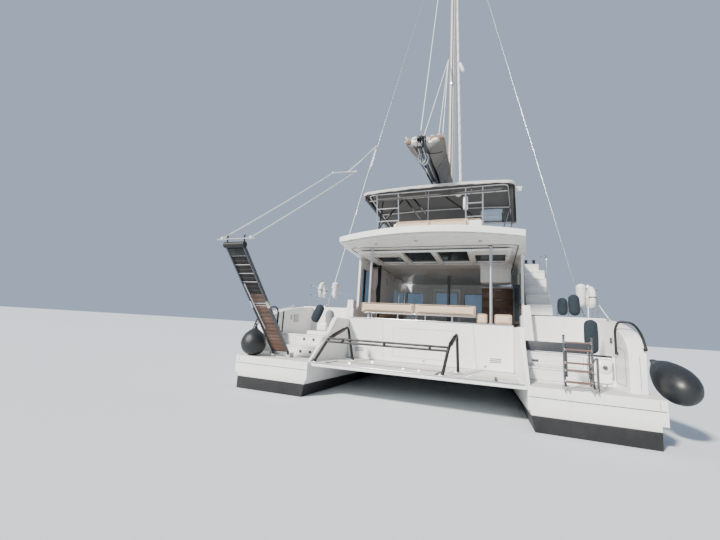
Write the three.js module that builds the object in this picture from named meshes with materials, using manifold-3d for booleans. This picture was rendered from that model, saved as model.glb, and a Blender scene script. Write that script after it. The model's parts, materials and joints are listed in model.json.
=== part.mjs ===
// Cruising catamaran with a hardtop saloon, a flybridge and a stern door that stows under the roof.
// Millimetres. +X starboard, +Y forward, +Z up.
// The origin is on the centreline, on the waterline, in the plane of the transoms.
import * as THREE from 'three';
import { mergeVertices } from 'three/addons/utils/BufferGeometryUtils.js';
import Module from 'manifold-3d';

const wasm = await Module();
wasm.setup();

// Driving dimensions
const GAP = 0.3;
const WING_INNER = 1960;
const TRANSOM_OUTER = 3700;
const PLATFORM_TOP = 670;
const PLATFORM_AFT = 100;
const LIP_BOTTOM = 320;
const LIP_LENGTH = 700;
const SOLE = 1250;
const WET_DECK = 800;
const BULKHEAD_AFT = 1750;
const BULKHEAD_THICK = 200;
const BULKHEAD_TOP = 1650;
const CABIN_HALF = 2150;
const CABIN_AFT = 2900;
const CABIN_FRONT = 8600;
const WALL_THICK = 60;
const CEILING = 3400;
const ROOF_THICK = 160;
const ROOF_TOP = CEILING + ROOF_THICK;
const ROOF_HALF = 2080;
const ROOF_AFT_CORNER = 1310;
const ROOF_AFT_MIDDLE = 1000;
const ROOF_FRONT = 9000;
const GLASS_THICK = 10;
const MAST_FOOT = new THREE.Vector3(0, 6200, ROOF_TOP + 5);
const MAST_LENGTH = 16750;
const MAST_RAKE = THREE.MathUtils.degToRad(1);
const BOOM_LENGTH = 4850;
const BOOM_PIVOT = new THREE.Vector3(0, 5930, 5560);
const BOOM_SWING = THREE.MathUtils.degToRad(-1.2);
const BOOM_RISE = THREE.MathUtils.degToRad(1.8);
const BIMINI_UNDER = 5100;
const RUDDER_X = 2830;
const RUDDER_Y = 1000;
const DRIVE_Y = 2620;
const SHAFT_Z = -820;
const STERN_DOOR_HINGE = new THREE.Vector3(0, 2000, 3350);
const STERN_DOOR_LENGTH = 1680;
const STERN_DOOR_HALF = 1850;
const PASSERELLE_PIVOT = new THREE.Vector3(-2885, 470, 730);
const PASSERELLE_LENGTH = 2760;
const PASSERELLE_RISE = THREE.MathUtils.degToRad(47.6);
const LADDER_X = 2660;
const LADDER_PIVOT_Y = -60;
const LADDER_PIVOT_Z = 720;

const finish = (color, roughness, metalness) => new THREE.MeshStandardMaterial({ color, roughness, metalness });
const FINISH = {
  gelcoat: finish(0xf2f1ec, 0.3, 0),
  deck: finish(0xe4e2da, 0.6, 0),
  glass: finish(0x2c3338, 0.1, 0),
  stainless: finish(0xb9bdc2, 0.25, 1),
  aluminium: finish(0xd9dadb, 0.4, 0.8),
  blackTube: finish(0x17191c, 0.4, 0.2),
  canvas: finish(0x8d8881, 0.9, 0),
  cushion: finish(0xc9ab86, 0.85, 0),
  sailcloth: finish(0xe8e6e0, 0.8, 0),
  wood: finish(0x7a5138, 0.7, 0),
  cabinet: finish(0x5b4434, 0.5, 0),
  fender: finish(0x1b1d20, 0.5, 0),
  bronze: finish(0xa58249, 0.35, 0.9),
};

const boat = new THREE.Group();

/** Adds a named mesh to a group, the boat unless another is given. */
function add(name, geometry, material, group = boat) {
  const mesh = new THREE.Mesh(geometry, material);
  mesh.name = name;
  group.add(mesh);
  return mesh;
}

/** A geometry as a manifold solid. */
function solid(geometry) {
  let bare = geometry.clone();
  bare.deleteAttribute('normal');
  bare.deleteAttribute('uv');
  bare = mergeVertices(bare, 1e-3);
  return new wasm.Manifold(new wasm.Mesh({
    numProp: 3,
    vertProperties: Float32Array.from(bare.attributes.position.array),
    triVerts: Uint32Array.from(bare.index.array),
  }));
}

/** A manifold solid as a geometry. */
function geometryOf(body) {
  const mesh = body.getMesh();
  const geometry = new THREE.BufferGeometry();
  geometry.setAttribute('position', new THREE.BufferAttribute(Float32Array.from(mesh.vertProperties), 3));
  geometry.setIndex(new THREE.BufferAttribute(Uint32Array.from(mesh.triVerts), 1));
  geometry.computeVertexNormals();
  return geometry;
}

/** Several geometries or solids joined into one solid. */
const joined = (...pieces) => pieces.flat(Infinity).map((p) => (p.isBufferGeometry ? solid(p) : p)).reduce((a, b) => a.add(b));

/** A solid less the others. */
function cut(body, ...tools) {
  const start = body.isBufferGeometry ? solid(body) : body;
  return tools.flat(Infinity).reduce((a, b) => a.subtract(b.isBufferGeometry ? solid(b) : b), start);
}

/** A box between two corners. */
function box(x0, x1, y0, y1, z0, z1) {
  const shape = new THREE.BoxGeometry(x1 - x0, y1 - y0, z1 - z0);
  return shape.translate((x0 + x1) / 2, (y0 + y1) / 2, (z0 + z1) / 2);
}

/** A cylinder from one point to another. */
function rod(from, to, radius, sides = 10, endRadius = radius) {
  const axis = new THREE.Vector3().subVectors(to, from);
  const bar = new THREE.CylinderGeometry(endRadius, radius, axis.length(), sides);
  bar.applyQuaternion(new THREE.Quaternion().setFromUnitVectors(new THREE.Vector3(0, 1, 0), axis.clone().normalize()));
  return bar.translate((from.x + to.x) / 2, (from.y + to.y) / 2, (from.z + to.z) / 2);
}

const point = (x, y, z) => new THREE.Vector3(x, y, z);

/** A bent tube as straight rods with a ball at each bend. */
function bentTube(points, radius, sides = 8) {
  const pieces = points.slice(1).map((end, i) => rod(points[i], end, radius, sides));
  const balls = points.slice(1, -1).map((p) => new THREE.SphereGeometry(radius * 1.02, sides, 6).translate(p.x, p.y, p.z));
  return joined(pieces, balls);
}

/** A polygon in a plane of constant X, with [y, z] corners, extruded from x0 to x1. */
function sidePlate(corners, x0, x1) {
  const shape = new THREE.Shape(corners.map(([y, z]) => new THREE.Vector2(y, z)));
  const plate = new THREE.ExtrudeGeometry(shape, { depth: x1 - x0, bevelEnabled: false });
  plate.applyMatrix4(new THREE.Matrix4().makeBasis(point(0, 1, 0), point(0, 0, 1), point(1, 0, 0)));
  return plate.translate(x0, 0, 0);
}

/** A flat shape in plan, extruded from z0 to z1. */
function planPlate(shape, z0, z1, curveSegments = 8) {
  return new THREE.ExtrudeGeometry(shape, { depth: z1 - z0, bevelEnabled: false, curveSegments }).translate(0, 0, z0);
}

/** A closed skin through rings of equal length, capped at both ends. */
function loft(rings) {
  const count = rings[0].length;
  const positions = rings.flat().flatMap((p) => [p.x, p.y, p.z]);
  const faces = [];
  for (let r = 0; r < rings.length - 1; r++) {
    for (let i = 0; i < count; i++) {
      const a = r * count + i;
      const b = r * count + ((i + 1) % count);
      faces.push(a, a + count, b, b, a + count, b + count);
    }
  }
  const last = (rings.length - 1) * count;
  for (let i = 1; i < count - 1; i++) {
    faces.push(0, i, i + 1, last, last + i + 1, last + i);
  }
  const skin = new THREE.BufferGeometry();
  skin.setAttribute('position', new THREE.Float32BufferAttribute(positions, 3));
  skin.setIndex(faces);
  return skin;
}

/** The mirror image of a solid across the centreline. */
const toPort = (body) => body.mirror([1, 0, 0]);

// Hulls. One row for each station of the starboard hull, from transom to stem.
// Columns: y, inner side, outer side, deck height, keel line, inner and outer waterline, depth.
const STATIONS = [
  [0, 1960, 3640, 1900, 2830, 2050, 3610, -120],
  [1800, 1860, 3700, 1910, 2820, 2010, 3620, -330],
  [4000, 1720, 3760, 1935, 2790, 2050, 3520, -500],
  [6500, 1700, 3790, 1965, 2780, 2090, 3440, -560],
  [9000, 1900, 3740, 2000, 2780, 2220, 3330, -540],
  [11300, 2260, 3530, 2045, 2790, 2430, 3150, -450],
  [13100, 2580, 3180, 2085, 2800, 2650, 2950, -300],
  [14250, 2760, 2880, 2115, 2820, 2780, 2860, -60],
];
const HULL_STEPS = 22;
const BILGE_STEPS = 5;
const CHINE_Z = 300;

/** The row of hull sizes at a share of the length, on smooth curves through the stations. */
function stationAt(share) {
  const at = share * (STATIONS.length - 1);
  const i = Math.min(Math.floor(at), STATIONS.length - 2);
  const t = at - i;
  const rows = [i - 1, i, i + 1, i + 2].map((k) => STATIONS[THREE.MathUtils.clamp(k, 0, STATIONS.length - 1)]);
  return rows[0].map((_, c) => {
    const [a, b, d, e] = rows.map((row) => row[c]);
    return b + 0.5 * t * (d - a + t * (2 * a - 5 * b + 4 * d - e + t * (3 * (b - d) + e - a)));
  });
}

/** The starboard hull without its stern steps, its skin moved out by a small gap and its deck raised. */
function hullBlank(grow, rise = 0) {
  const rings = [];
  for (let s = 0; s <= HULL_STEPS; s++) {
    const [y, inner, outer, sheer, keel, waterIn, waterOut, depth] = stationAt(s / HULL_STEPS);
    const deck = sheer + rise;
    const ring = [point(inner - grow, y, deck), point(inner - grow, y, WET_DECK), point(inner + 30 - grow, y, CHINE_Z)];
    for (let b = 0; b <= 2 * BILGE_STEPS; b++) {
      const angle = (b / BILGE_STEPS - 1) * Math.PI / 2;
      const half = (b < BILGE_STEPS ? keel - waterIn : waterOut - keel) + grow;
      ring.push(point(keel + half * Math.sign(angle) * Math.abs(Math.sin(angle)) ** 0.8, y, (depth - grow) * Math.cos(angle)));
    }
    ring.push(point(outer - 20 + grow, y, CHINE_Z), point(outer + grow, y, deck));
    rings.push(ring);
  }
  return solid(loft(rings));
}

const STEP_TOP_1 = 915;
const STEP_TOP_2 = 1160;
const LANDING_INNER = 2000;
const LANDING_OUTER = 3000;
const LANDING_FORE = 2700;
const LEDGE_AFT = 1150;
const COAMING_INNER = 3420;

/** The space above the stern steps, the landing and the curved edge of the coaming. */
function sternCutters() {
  const high = 2300;
  const low = 600;
  const aft = -10;
  const coaming = [[aft, low], [460, low], [460, 1250], [520, 1400], [640, 1510], [820, 1595], [1060, 1665], [1400, 1740],
    [2000, 1830], [LANDING_FORE, 1899], [LANDING_FORE, high], [aft, high]];
  const steps = [[aft, PLATFORM_TOP], [780, PLATFORM_TOP], [780, STEP_TOP_1], [1080, STEP_TOP_1], [1080, STEP_TOP_2],
    [1700, STEP_TOP_2], [1700, SOLE], [LANDING_FORE, SOLE], [LANDING_FORE, high], [aft, high]];
  const wing = [[aft, low], [100, low], [100, 690], [400, 950], [760, 1220], [1060, 1560], [1110, 1600],
    [LANDING_FORE, 1600], [LANDING_FORE, high], [aft, high]];
  return [
    sidePlate(coaming, COAMING_INNER - 10, TRANSOM_OUTER + 200),
    sidePlate(steps, LANDING_INNER, LANDING_OUTER),
    box(LANDING_OUTER - 10, COAMING_INNER, aft, LEDGE_AFT, PLATFORM_TOP, high),
    box(LANDING_OUTER - 10, COAMING_INNER, LEDGE_AFT - 10, LANDING_FORE, STEP_TOP_2, high),
    sidePlate(wing, 1700, LANDING_INNER + 10),
  ];
}

const KEEL_FORE = 7900;
const KEEL_AFT = 5300;
const KEEL_HALF_THICK = 150;
const DRAFT = 1180;

/** The stub keel under the starboard hull. */
function stubKeel() {
  const foil = new THREE.Shape();
  foil.moveTo(KEEL_AFT, 0);
  foil.bezierCurveTo(6400, KEEL_HALF_THICK, 7500, KEEL_HALF_THICK * 1.5, KEEL_FORE, 0);
  foil.bezierCurveTo(7500, -KEEL_HALF_THICK * 1.5, 6400, -KEEL_HALF_THICK, KEEL_AFT, 0);
  const keel = new THREE.ExtrudeGeometry(foil, { depth: DRAFT - 420, bevelEnabled: false, curveSegments: 8 });
  keel.applyMatrix4(new THREE.Matrix4().makeBasis(point(0, 1, 0), point(-1, 0, 0), point(0, 0, 1)));
  return keel.translate(2780, 0, -DRAFT);
}

const cabinSpace = box(1500, CABIN_HALF + GAP, BULKHEAD_AFT + BULKHEAD_THICK, CABIN_FRONT, SOLE, 2500);
const lip = box(WING_INNER, TRANSOM_OUTER, 0, LIP_LENGTH, LIP_BOTTOM, PLATFORM_TOP);
const sternCut = joined(sternCutters());
const PILLAR = { inner: 2075, foot: 2310, head: 2230, low: SOLE - 10, high: 2130, aft: 2450, fore: 2720 };
const pillar = sidePlate([[PILLAR.aft, PILLAR.low], [PILLAR.fore, PILLAR.low], [PILLAR.fore, PILLAR.high], [PILLAR.aft, PILLAR.high]],
  PILLAR.inner, PILLAR.foot);
const pillarSlope = planPlate(new THREE.Shape([
  new THREE.Vector2(PILLAR.foot, PILLAR.low), new THREE.Vector2(PILLAR.foot + 50, PILLAR.low),
  new THREE.Vector2(PILLAR.foot + 50, PILLAR.high + 10), new THREE.Vector2(PILLAR.head, PILLAR.high + 10),
]), -PILLAR.fore - 10, -PILLAR.aft + 10).rotateX(Math.PI / 2);
const starboardHull = joined(cut(hullBlank(0), sternCut, cabinSpace), cut(pillar, pillarSlope), stubKeel(), lip);
const ABOVE_DECK = 200;
const hullSpace = hullBlank(GAP, ABOVE_DECK);
const hullRoom = joined(hullSpace, toPort(hullSpace));
add('starboard_hull', geometryOf(starboardHull), FINISH.gelcoat);
add('port_hull', geometryOf(toPort(starboardHull)), FINISH.gelcoat);

// Bridgedeck, aft platform, cockpit bulkhead and foredeck, fitted between the hulls
const BRIDGE_HALF = 2300;
add('bridgedeck', geometryOf(cut(
  box(-BRIDGE_HALF, BRIDGE_HALF, BULKHEAD_AFT + BULKHEAD_THICK, CABIN_FRONT, WET_DECK, SOLE),
  hullRoom,
)), FINISH.gelcoat);

const platformRoom = joined(
  box(WING_INNER - GAP, 2100, -50, LIP_LENGTH + GAP, 300, 700),
  box(-2100, -WING_INNER + GAP, -50, LIP_LENGTH + GAP, 300, 700),
);
add('aft_platform', geometryOf(cut(
  box(-2050, 2050, PLATFORM_AFT, BULKHEAD_AFT + BULKHEAD_THICK - GAP, PLATFORM_TOP - 80, PLATFORM_TOP),
  hullRoom,
  platformRoom,
)), FINISH.deck);

add('cockpit_bulkhead', geometryOf(cut(
  box(-2050, 2050, BULKHEAD_AFT, BULKHEAD_AFT + BULKHEAD_THICK - GAP, PLATFORM_TOP + GAP, BULKHEAD_TOP),
  hullRoom,
)), FINISH.gelcoat);

const FOREDECK_FRONT = 12700;
const DECK_FRONT = 2070;
const WELL_FRONT = 10900;
const WELL_HALF = 1500;
const WELL_SOLE = 1350;
const foredeckSide = [[CABIN_FRONT + GAP, WET_DECK], [10500, 900], [FOREDECK_FRONT - 300, 1560], [FOREDECK_FRONT, 1850],
  [FOREDECK_FRONT, DECK_FRONT], [12000, DECK_FRONT], [10500, 2040], [CABIN_FRONT + GAP, 2000]];
const foredeckCut = cut(
  sidePlate(foredeckSide, -2900, 2900),
  box(-WELL_HALF, WELL_HALF, CABIN_FRONT - 10, WELL_FRONT, WELL_SOLE, 2200),
  hullRoom,
);
const anchorRoller = box(-110, 110, FOREDECK_FRONT - 100, FOREDECK_FRONT + 420, 1930, 2040);
add('foredeck', geometryOf(foredeckCut.add(solid(anchorRoller))), FINISH.gelcoat);

// Cabin walls. Window columns: aft edge, fore edge, low edge, high edge.
const SIDE_WINDOWS = [
  [3050, 4250, 2120, 3120],
  [6600, 7400, 2120, 2900],
  [7500, 8350, 2120, 2950],
];
const WALL_TOP = CEILING - GAP;

/** The starboard cabin wall with its windows cut. */
function sideWall() {
  const wall = box(CABIN_HALF - WALL_THICK, CABIN_HALF, CABIN_AFT, CABIN_FRONT - WALL_THICK - GAP, SOLE + GAP, WALL_TOP);
  const holes = SIDE_WINDOWS.map(([aft, fore, low, high]) => box(CABIN_HALF - 100, CABIN_HALF + 50, aft, fore, low, high));
  return cut(wall, holes);
}

/** One band of glass over the starboard windows. */
function sideGlass() {
  const [aft, , low, high] = SIDE_WINDOWS[0];
  const fore = SIDE_WINDOWS.at(-1)[1];
  const margin = 60;
  const outside = CABIN_HALF + GAP;
  return solid(box(outside, outside + GLASS_THICK, aft - margin, fore + margin, low - margin, high + margin));
}
const starboardWall = sideWall();
const starboardGlass = sideGlass();
add('starboard_cabin_wall', geometryOf(starboardWall), FINISH.gelcoat);
add('port_cabin_wall', geometryOf(toPort(starboardWall)), FINISH.gelcoat);
add('starboard_cabin_glass', geometryOf(starboardGlass), FINISH.glass);
add('port_cabin_glass', geometryOf(toPort(starboardGlass)), FINISH.glass);

// Front wall, its door opening and its windows. Window columns: port edge, starboard edge, low edge, high edge.
const FRONT_WINDOWS = [
  [-2050, -1360, 2250, 3030],
  [350, 1950, 2250, 3030],
];
const FRONT_DOOR = { port: -900, starboard: 150, low: 1380, high: 3180, windowLow: 2100, windowHigh: 3030, frame: 100 };
const BEHIND_FRONT = CABIN_FRONT - 200;
const BEFORE_FRONT = CABIN_FRONT + 100;
add('front_cabin_wall', geometryOf(cut(
  box(-CABIN_HALF, CABIN_HALF, CABIN_FRONT - WALL_THICK, CABIN_FRONT - GAP, SOLE + GAP, WALL_TOP),
  FRONT_WINDOWS.map(([port, starboard, low, high]) => box(port, starboard, BEHIND_FRONT, BEFORE_FRONT, low, high)),
  box(FRONT_DOOR.port, FRONT_DOOR.starboard, BEHIND_FRONT, BEFORE_FRONT, FRONT_DOOR.low, FRONT_DOOR.high),
)), FINISH.gelcoat);
FRONT_WINDOWS.forEach(([port, starboard, low, high], i) => {
  const rim = 8;
  add(`${['port', 'starboard'][i]}_front_glass`, box(
    port + rim, starboard - rim, CABIN_FRONT - 40, CABIN_FRONT - 40 + GLASS_THICK, low + rim, high - rim,
  ), FINISH.glass);
});

const doorClear = 8;
add('front_door', geometryOf(cut(
  box(FRONT_DOOR.port + doorClear, FRONT_DOOR.starboard - doorClear, CABIN_FRONT - 52, CABIN_FRONT - 12,
    FRONT_DOOR.low + doorClear, FRONT_DOOR.high - doorClear),
  box(FRONT_DOOR.port + FRONT_DOOR.frame, FRONT_DOOR.starboard - FRONT_DOOR.frame, BEHIND_FRONT, BEFORE_FRONT,
    FRONT_DOOR.windowLow, FRONT_DOOR.windowHigh),
)), FINISH.gelcoat);

// Hardtop over cockpit and saloon: crowned, hollowed under its aft edge, cut away beside the stairs
const ROOF_CROWN = { side: 3580, middle: 3685, half: 2100 };
const ROOF_UNDER = { fore: 1750, corner: 3450, middle: 3535, half: 2080 };

/** A height that falls from the middle of the roof to its sides on a parabola. */
const crowned = (x, { half }, middle, side) => side + (middle - side) * (1 - (x / half) ** 2);

/** The space above the crowned roof. */
function aboveRoof() {
  const reach = 2400;
  const shape = new THREE.Shape();
  shape.moveTo(-reach, ROOF_TOP + 400);
  for (let x = -reach; x <= reach; x += 240) {
    shape.lineTo(x, crowned(x, ROOF_CROWN, ROOF_CROWN.middle, ROOF_CROWN.side));
  }
  shape.lineTo(reach, ROOF_TOP + 400);
  return new THREE.ExtrudeGeometry(shape, { depth: ROOF_FRONT, bevelEnabled: false }).rotateX(Math.PI / 2).translate(0, ROOF_FRONT + 100, 0);
}

/** The space below the roof's aft edge, from the level ceiling up to the edge. */
function underAftEdge() {
  const aft = 900;
  const low = CEILING - 100;
  const rings = [];
  for (let x = -2240; x <= 2240; x += 320) {
    const edgeY = ROOF_AFT_MIDDLE + (ROOF_AFT_CORNER - ROOF_AFT_MIDDLE) * (x / ROOF_HALF) ** 2;
    const edgeZ = crowned(x, ROOF_UNDER, ROOF_UNDER.middle, ROOF_UNDER.corner);
    const slope = (edgeZ - CEILING) / (ROOF_UNDER.fore - edgeY);
    const aftZ = CEILING + slope * (ROOF_UNDER.fore - aft);
    rings.push([point(x, aft, low), point(x, aft, aftZ), point(x, ROOF_UNDER.fore, CEILING), point(x, ROOF_UNDER.fore, low)]);
  }
  return solid(loft(rings));
}

const roofPlan = new THREE.Shape();
roofPlan.moveTo(-ROOF_HALF, ROOF_AFT_CORNER);
roofPlan.quadraticCurveTo(0, 2 * ROOF_AFT_MIDDLE - ROOF_AFT_CORNER, ROOF_HALF, ROOF_AFT_CORNER);
roofPlan.lineTo(CABIN_HALF + 50, 3000);
roofPlan.lineTo(CABIN_HALF + 50, 7600);
roofPlan.quadraticCurveTo(CABIN_HALF, ROOF_FRONT - 100, 0, ROOF_FRONT);
roofPlan.quadraticCurveTo(-CABIN_HALF, ROOF_FRONT - 100, -CABIN_HALF - 50, 7600);
roofPlan.lineTo(-CABIN_HALF - 50, 3000);
roofPlan.lineTo(-ROOF_HALF, ROOF_AFT_CORNER);
const FLY_AFT = 1500;
const FLY_FRONT = 7000;
const FLY_HALF = 1980;
const FLY_COAMING = 130;
const GATE_AFT = 4150;
const GATE_FORE = 4800;
const flyWell = box(-FLY_HALF, FLY_HALF, FLY_AFT, FLY_FRONT, ROOF_TOP, ROOF_TOP + 400);
const stairGate = box(FLY_HALF - 10, 2400, GATE_AFT, GATE_FORE, ROOF_TOP, ROOF_TOP + 400);
add('hardtop', geometryOf(cut(
  planPlate(roofPlan, CEILING, ROOF_TOP + FLY_COAMING, 12), flyWell, stairGate, aboveRoof(), underAftEdge(),
)), FINISH.gelcoat);

// Posts under the hardtop's aft end
const POST_X = 1410;
const POST_Y = 1890;
for (const [name, side] of [['port_post', -1], ['starboard_post', 1]]) {
  add(name, rod(point(side * POST_X, POST_Y, BULKHEAD_TOP + GAP), point(side * POST_X, POST_Y, CEILING - GAP), 38, 14),
    FINISH.stainless);
}

// Stairs from the starboard side deck to the flybridge, and their rail
const STAIR = { inner: 2215, outer: 2760, start: 3020, run: 290, rise: 255, low: 1960, count: 5, depth: 480 };
const stairTreads = [];
for (let i = 0; i < STAIR.count; i++) {
  const aft = STAIR.start + i * STAIR.run;
  stairTreads.push([aft, STAIR.low + i * STAIR.rise], [aft, STAIR.low + (i + 1) * STAIR.rise]);
}
const stairEnd = STAIR.start + STAIR.count * STAIR.run;
const stairTop = STAIR.low + STAIR.count * STAIR.rise;
const stairSide = [...stairTreads, [stairEnd, stairTop], [stairEnd, stairTop - STAIR.depth], [STAIR.start + 2 * STAIR.run, STAIR.low]];
add('flybridge_stairs', sidePlate(stairSide, STAIR.inner, STAIR.outer), FINISH.gelcoat);

add('stair_rail', geometryOf(bentTube([
  point(2720, 3470, STAIR.low + 2 * STAIR.rise + GAP),
  point(2720, 3470, 3420),
  point(2720, 3560, 3520),
  point(2690, 4300, 3640),
  point(2680, 4390, 3560),
  point(2680, 4390, stairTop + GAP),
], 17)), FINISH.stainless);

// Cockpit bench with its reversible backrests on a low rail, and the galley cabinet inside
const BENCH_HALF = 1500;
add('cockpit_bench', box(-BENCH_HALF, BENCH_HALF, BULKHEAD_AFT + BULKHEAD_THICK + GAP, 2400, SOLE + GAP, 1550), FINISH.gelcoat);
const BACKREST_Y = 1795;
const backrests = [[-1500, -270], [-250, 1100]].map(([port, starboard]) => box(port, starboard, BACKREST_Y - 38, BACKREST_Y + 38, 1770, 2020));
const backrestRail = bentTube([point(-1450, BACKREST_Y, 1790), point(1050, BACKREST_Y, 1790)], 16);
const backrestPosts = [-1300, -650, 0, 600].map((x) => rod(point(x, BACKREST_Y, BULKHEAD_TOP + GAP), point(x, BACKREST_Y, 1800), 14, 8));
add('bench_backrest', geometryOf(joined(backrests, backrestRail, backrestPosts)), FINISH.cushion);
add('galley_cabinet', box(1150, 2050, 4300, 5700, SOLE + GAP, 2750), FINISH.cabinet);
add('saloon_sofa', geometryOf(joined(
  box(-2080, -1450, 4300, 7300, SOLE + GAP, 1650),
  box(-2080, -1900, 4300, 7300, 1640, 2050),
)), FINISH.cushion);

// Stern door, stowed level under the hardtop. The frame holds four panes under one sheet of glass.
// Pane columns: port edge, starboard edge, aft edge.
const STERN_PANES = [
  [-1580, -870, 560],
  [-690, 20, 60],
  [170, 880, 60],
  [1040, 1740, 480],
];
const doorAft = STERN_DOOR_HINGE.y;
const doorFore = doorAft + STERN_DOOR_LENGTH;
const DOOR_FRAME_THICK = 45;
const doorTop = STERN_DOOR_HINGE.z + 25;
const sternDoorHoles = STERN_PANES.map(([port, starboard, aft]) => (
  box(port, starboard, doorAft + aft, doorFore - 230, 3000, 3600)));
add('stern_door', geometryOf(cut(
  box(-STERN_DOOR_HALF, STERN_DOOR_HALF, doorAft + 10, doorFore, doorTop - GLASS_THICK - DOOR_FRAME_THICK, doorTop - GLASS_THICK - GAP),
  sternDoorHoles,
)), FINISH.gelcoat);
add('stern_door_glass', box(-1620, 1780, doorAft + 50, doorFore - 190, doorTop - GLASS_THICK, doorTop), FINISH.glass);

// Flybridge: bench, cushion, helm console, seat, steering wheel
const flySole = ROOF_TOP + GAP;
const FLY_BENCH = { port: -800, starboard: 1230, aft: 1620, back: 1720, fore: 2250, seat: 3780, top: 3940 };
const FLY_CUSHION = { port: -780, starboard: 1210, seatAft: 1820, seat: 3880, top: 4010 };
add('flybridge_bench', geometryOf(joined(
  box(FLY_BENCH.port, FLY_BENCH.starboard, FLY_BENCH.aft, FLY_BENCH.fore, flySole, FLY_BENCH.seat),
  box(FLY_BENCH.port, FLY_BENCH.starboard, FLY_BENCH.aft, FLY_BENCH.back, FLY_BENCH.seat - 10, FLY_BENCH.top),
)), FINISH.gelcoat);
add('flybridge_cushion', geometryOf(joined(
  box(FLY_CUSHION.port, FLY_CUSHION.starboard, FLY_CUSHION.seatAft, FLY_BENCH.fore - 10, FLY_BENCH.seat + GAP, FLY_CUSHION.seat),
  box(FLY_CUSHION.port, FLY_CUSHION.starboard, FLY_BENCH.back + GAP, FLY_CUSHION.seatAft + 10, FLY_BENCH.seat + GAP, FLY_CUSHION.top),
)), FINISH.cushion);
const HELM_X = 1150;
const WHEEL_Y = 4820;
const WHEEL_Z = 4420;
add('helm_console', sidePlate([[4900, flySole], [5350, flySole], [5350, 4450], [5200, 4650], [4950, 4480]], HELM_X - 420, HELM_X + 420),
  FINISH.gelcoat);
add('helm_seat', geometryOf(joined(
  box(HELM_X - 450, HELM_X + 450, 3800, 4200, flySole, 4000),
  box(HELM_X - 450, HELM_X + 450, 3800, 3890, 3990, 4430),
)), FINISH.cushion);
const wheelRim = new THREE.TorusGeometry(330, 16, 8, 28).rotateX(Math.PI / 2).translate(HELM_X, WHEEL_Y, WHEEL_Z);
const wheelHub = rod(point(HELM_X, WHEEL_Y - 30, WHEEL_Z), point(HELM_X, 4935, WHEEL_Z), 45, 12);
const wheelSpokes = [90, 210, 330].map((degrees) => {
  const angle = THREE.MathUtils.degToRad(degrees);
  return rod(point(HELM_X, WHEEL_Y, WHEEL_Z), point(HELM_X + 330 * Math.cos(angle), WHEEL_Y, WHEEL_Z + 330 * Math.sin(angle)), 10, 6);
});
add('steering_wheel', geometryOf(joined(wheelRim, wheelHub, wheelSpokes)), FINISH.stainless);

// Bimini: a crowned canopy on a tube frame
const BIMINI = { aft: 2320, front: 5650, half: 1950, frontHalf: 2180, thick: 70, round: 180 };
const corner = BIMINI.round;
const biminiPlan = new THREE.Shape();
biminiPlan.moveTo(-BIMINI.half + corner, BIMINI.aft);
biminiPlan.lineTo(BIMINI.half - corner, BIMINI.aft);
biminiPlan.quadraticCurveTo(BIMINI.half, BIMINI.aft, BIMINI.half + 5, BIMINI.aft + corner);
biminiPlan.lineTo(BIMINI.frontHalf, BIMINI.front - corner);
biminiPlan.quadraticCurveTo(BIMINI.frontHalf, BIMINI.front, BIMINI.frontHalf - corner, BIMINI.front);
biminiPlan.lineTo(-BIMINI.frontHalf + corner, BIMINI.front);
biminiPlan.quadraticCurveTo(-BIMINI.frontHalf, BIMINI.front, -BIMINI.frontHalf, BIMINI.front - corner);
biminiPlan.lineTo(-BIMINI.half - 5, BIMINI.aft + corner);
biminiPlan.quadraticCurveTo(-BIMINI.half, BIMINI.aft, -BIMINI.half + corner, BIMINI.aft);
add('bimini_top', planPlate(biminiPlan, BIMINI_UNDER, BIMINI_UNDER + BIMINI.thick, 6), FINISH.canvas);

const tubeR = 19;
const hoopZ = BIMINI_UNDER - tubeR - 1;
const frameAft = BIMINI.aft + 120;
const frameFront = BIMINI.front - 120;
const HOOP_AFT_HALF = 1800;
const HOOP_FRONT_HALF = 2030;
const BOW_Y = 4100;
const LEG_Y = 2760;
const LEG_SIDE = 1560;
const LEG_PAIRS = [[-LEG_SIDE, -950], [810, 1220]];
const RUNG_SHARES = [0.3, 0.52, 0.74];
const bowHalf = HOOP_AFT_HALF + (HOOP_FRONT_HALF - HOOP_AFT_HALF) * (BOW_Y - frameAft) / (frameFront - frameAft);
const legFoot = flySole - 30;
const frameRods = [
  bentTube([point(-HOOP_AFT_HALF, frameAft, hoopZ), point(HOOP_AFT_HALF, frameAft, hoopZ), point(HOOP_FRONT_HALF, frameFront, hoopZ),
    point(-HOOP_FRONT_HALF, frameFront, hoopZ), point(-HOOP_AFT_HALF, frameAft, hoopZ)], tubeR),
  rod(point(-bowHalf, BOW_Y, hoopZ), point(bowHalf, BOW_Y, hoopZ), tubeR, 8),
];
for (const pair of LEG_PAIRS) {
  for (const x of pair) {
    frameRods.push(rod(point(x, LEG_Y, legFoot), point(x, frameAft, hoopZ), tubeR, 8));
  }
  for (const share of RUNG_SHARES) {
    const y = LEG_Y + (frameAft - LEG_Y) * share;
    const z = flySole + (hoopZ - flySole) * share;
    frameRods.push(rod(point(pair[0], y, z), point(pair[1], y, z), 13, 8));
  }
}
for (const side of [-1, 1]) {
  frameRods.push(rod(point(side * 1850, frameFront - 200, legFoot), point(side * HOOP_FRONT_HALF, frameFront, hoopZ), tubeR, 8));
  frameRods.push(rod(point(side * LEG_SIDE, LEG_Y, legFoot), point(side * bowHalf, BOW_Y, hoopZ), tubeR, 8));
}
add('bimini_frame', geometryOf(cut(joined(frameRods), box(-2500, 2500, 1000, 7000, 3000, flySole))), FINISH.stainless);

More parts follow.
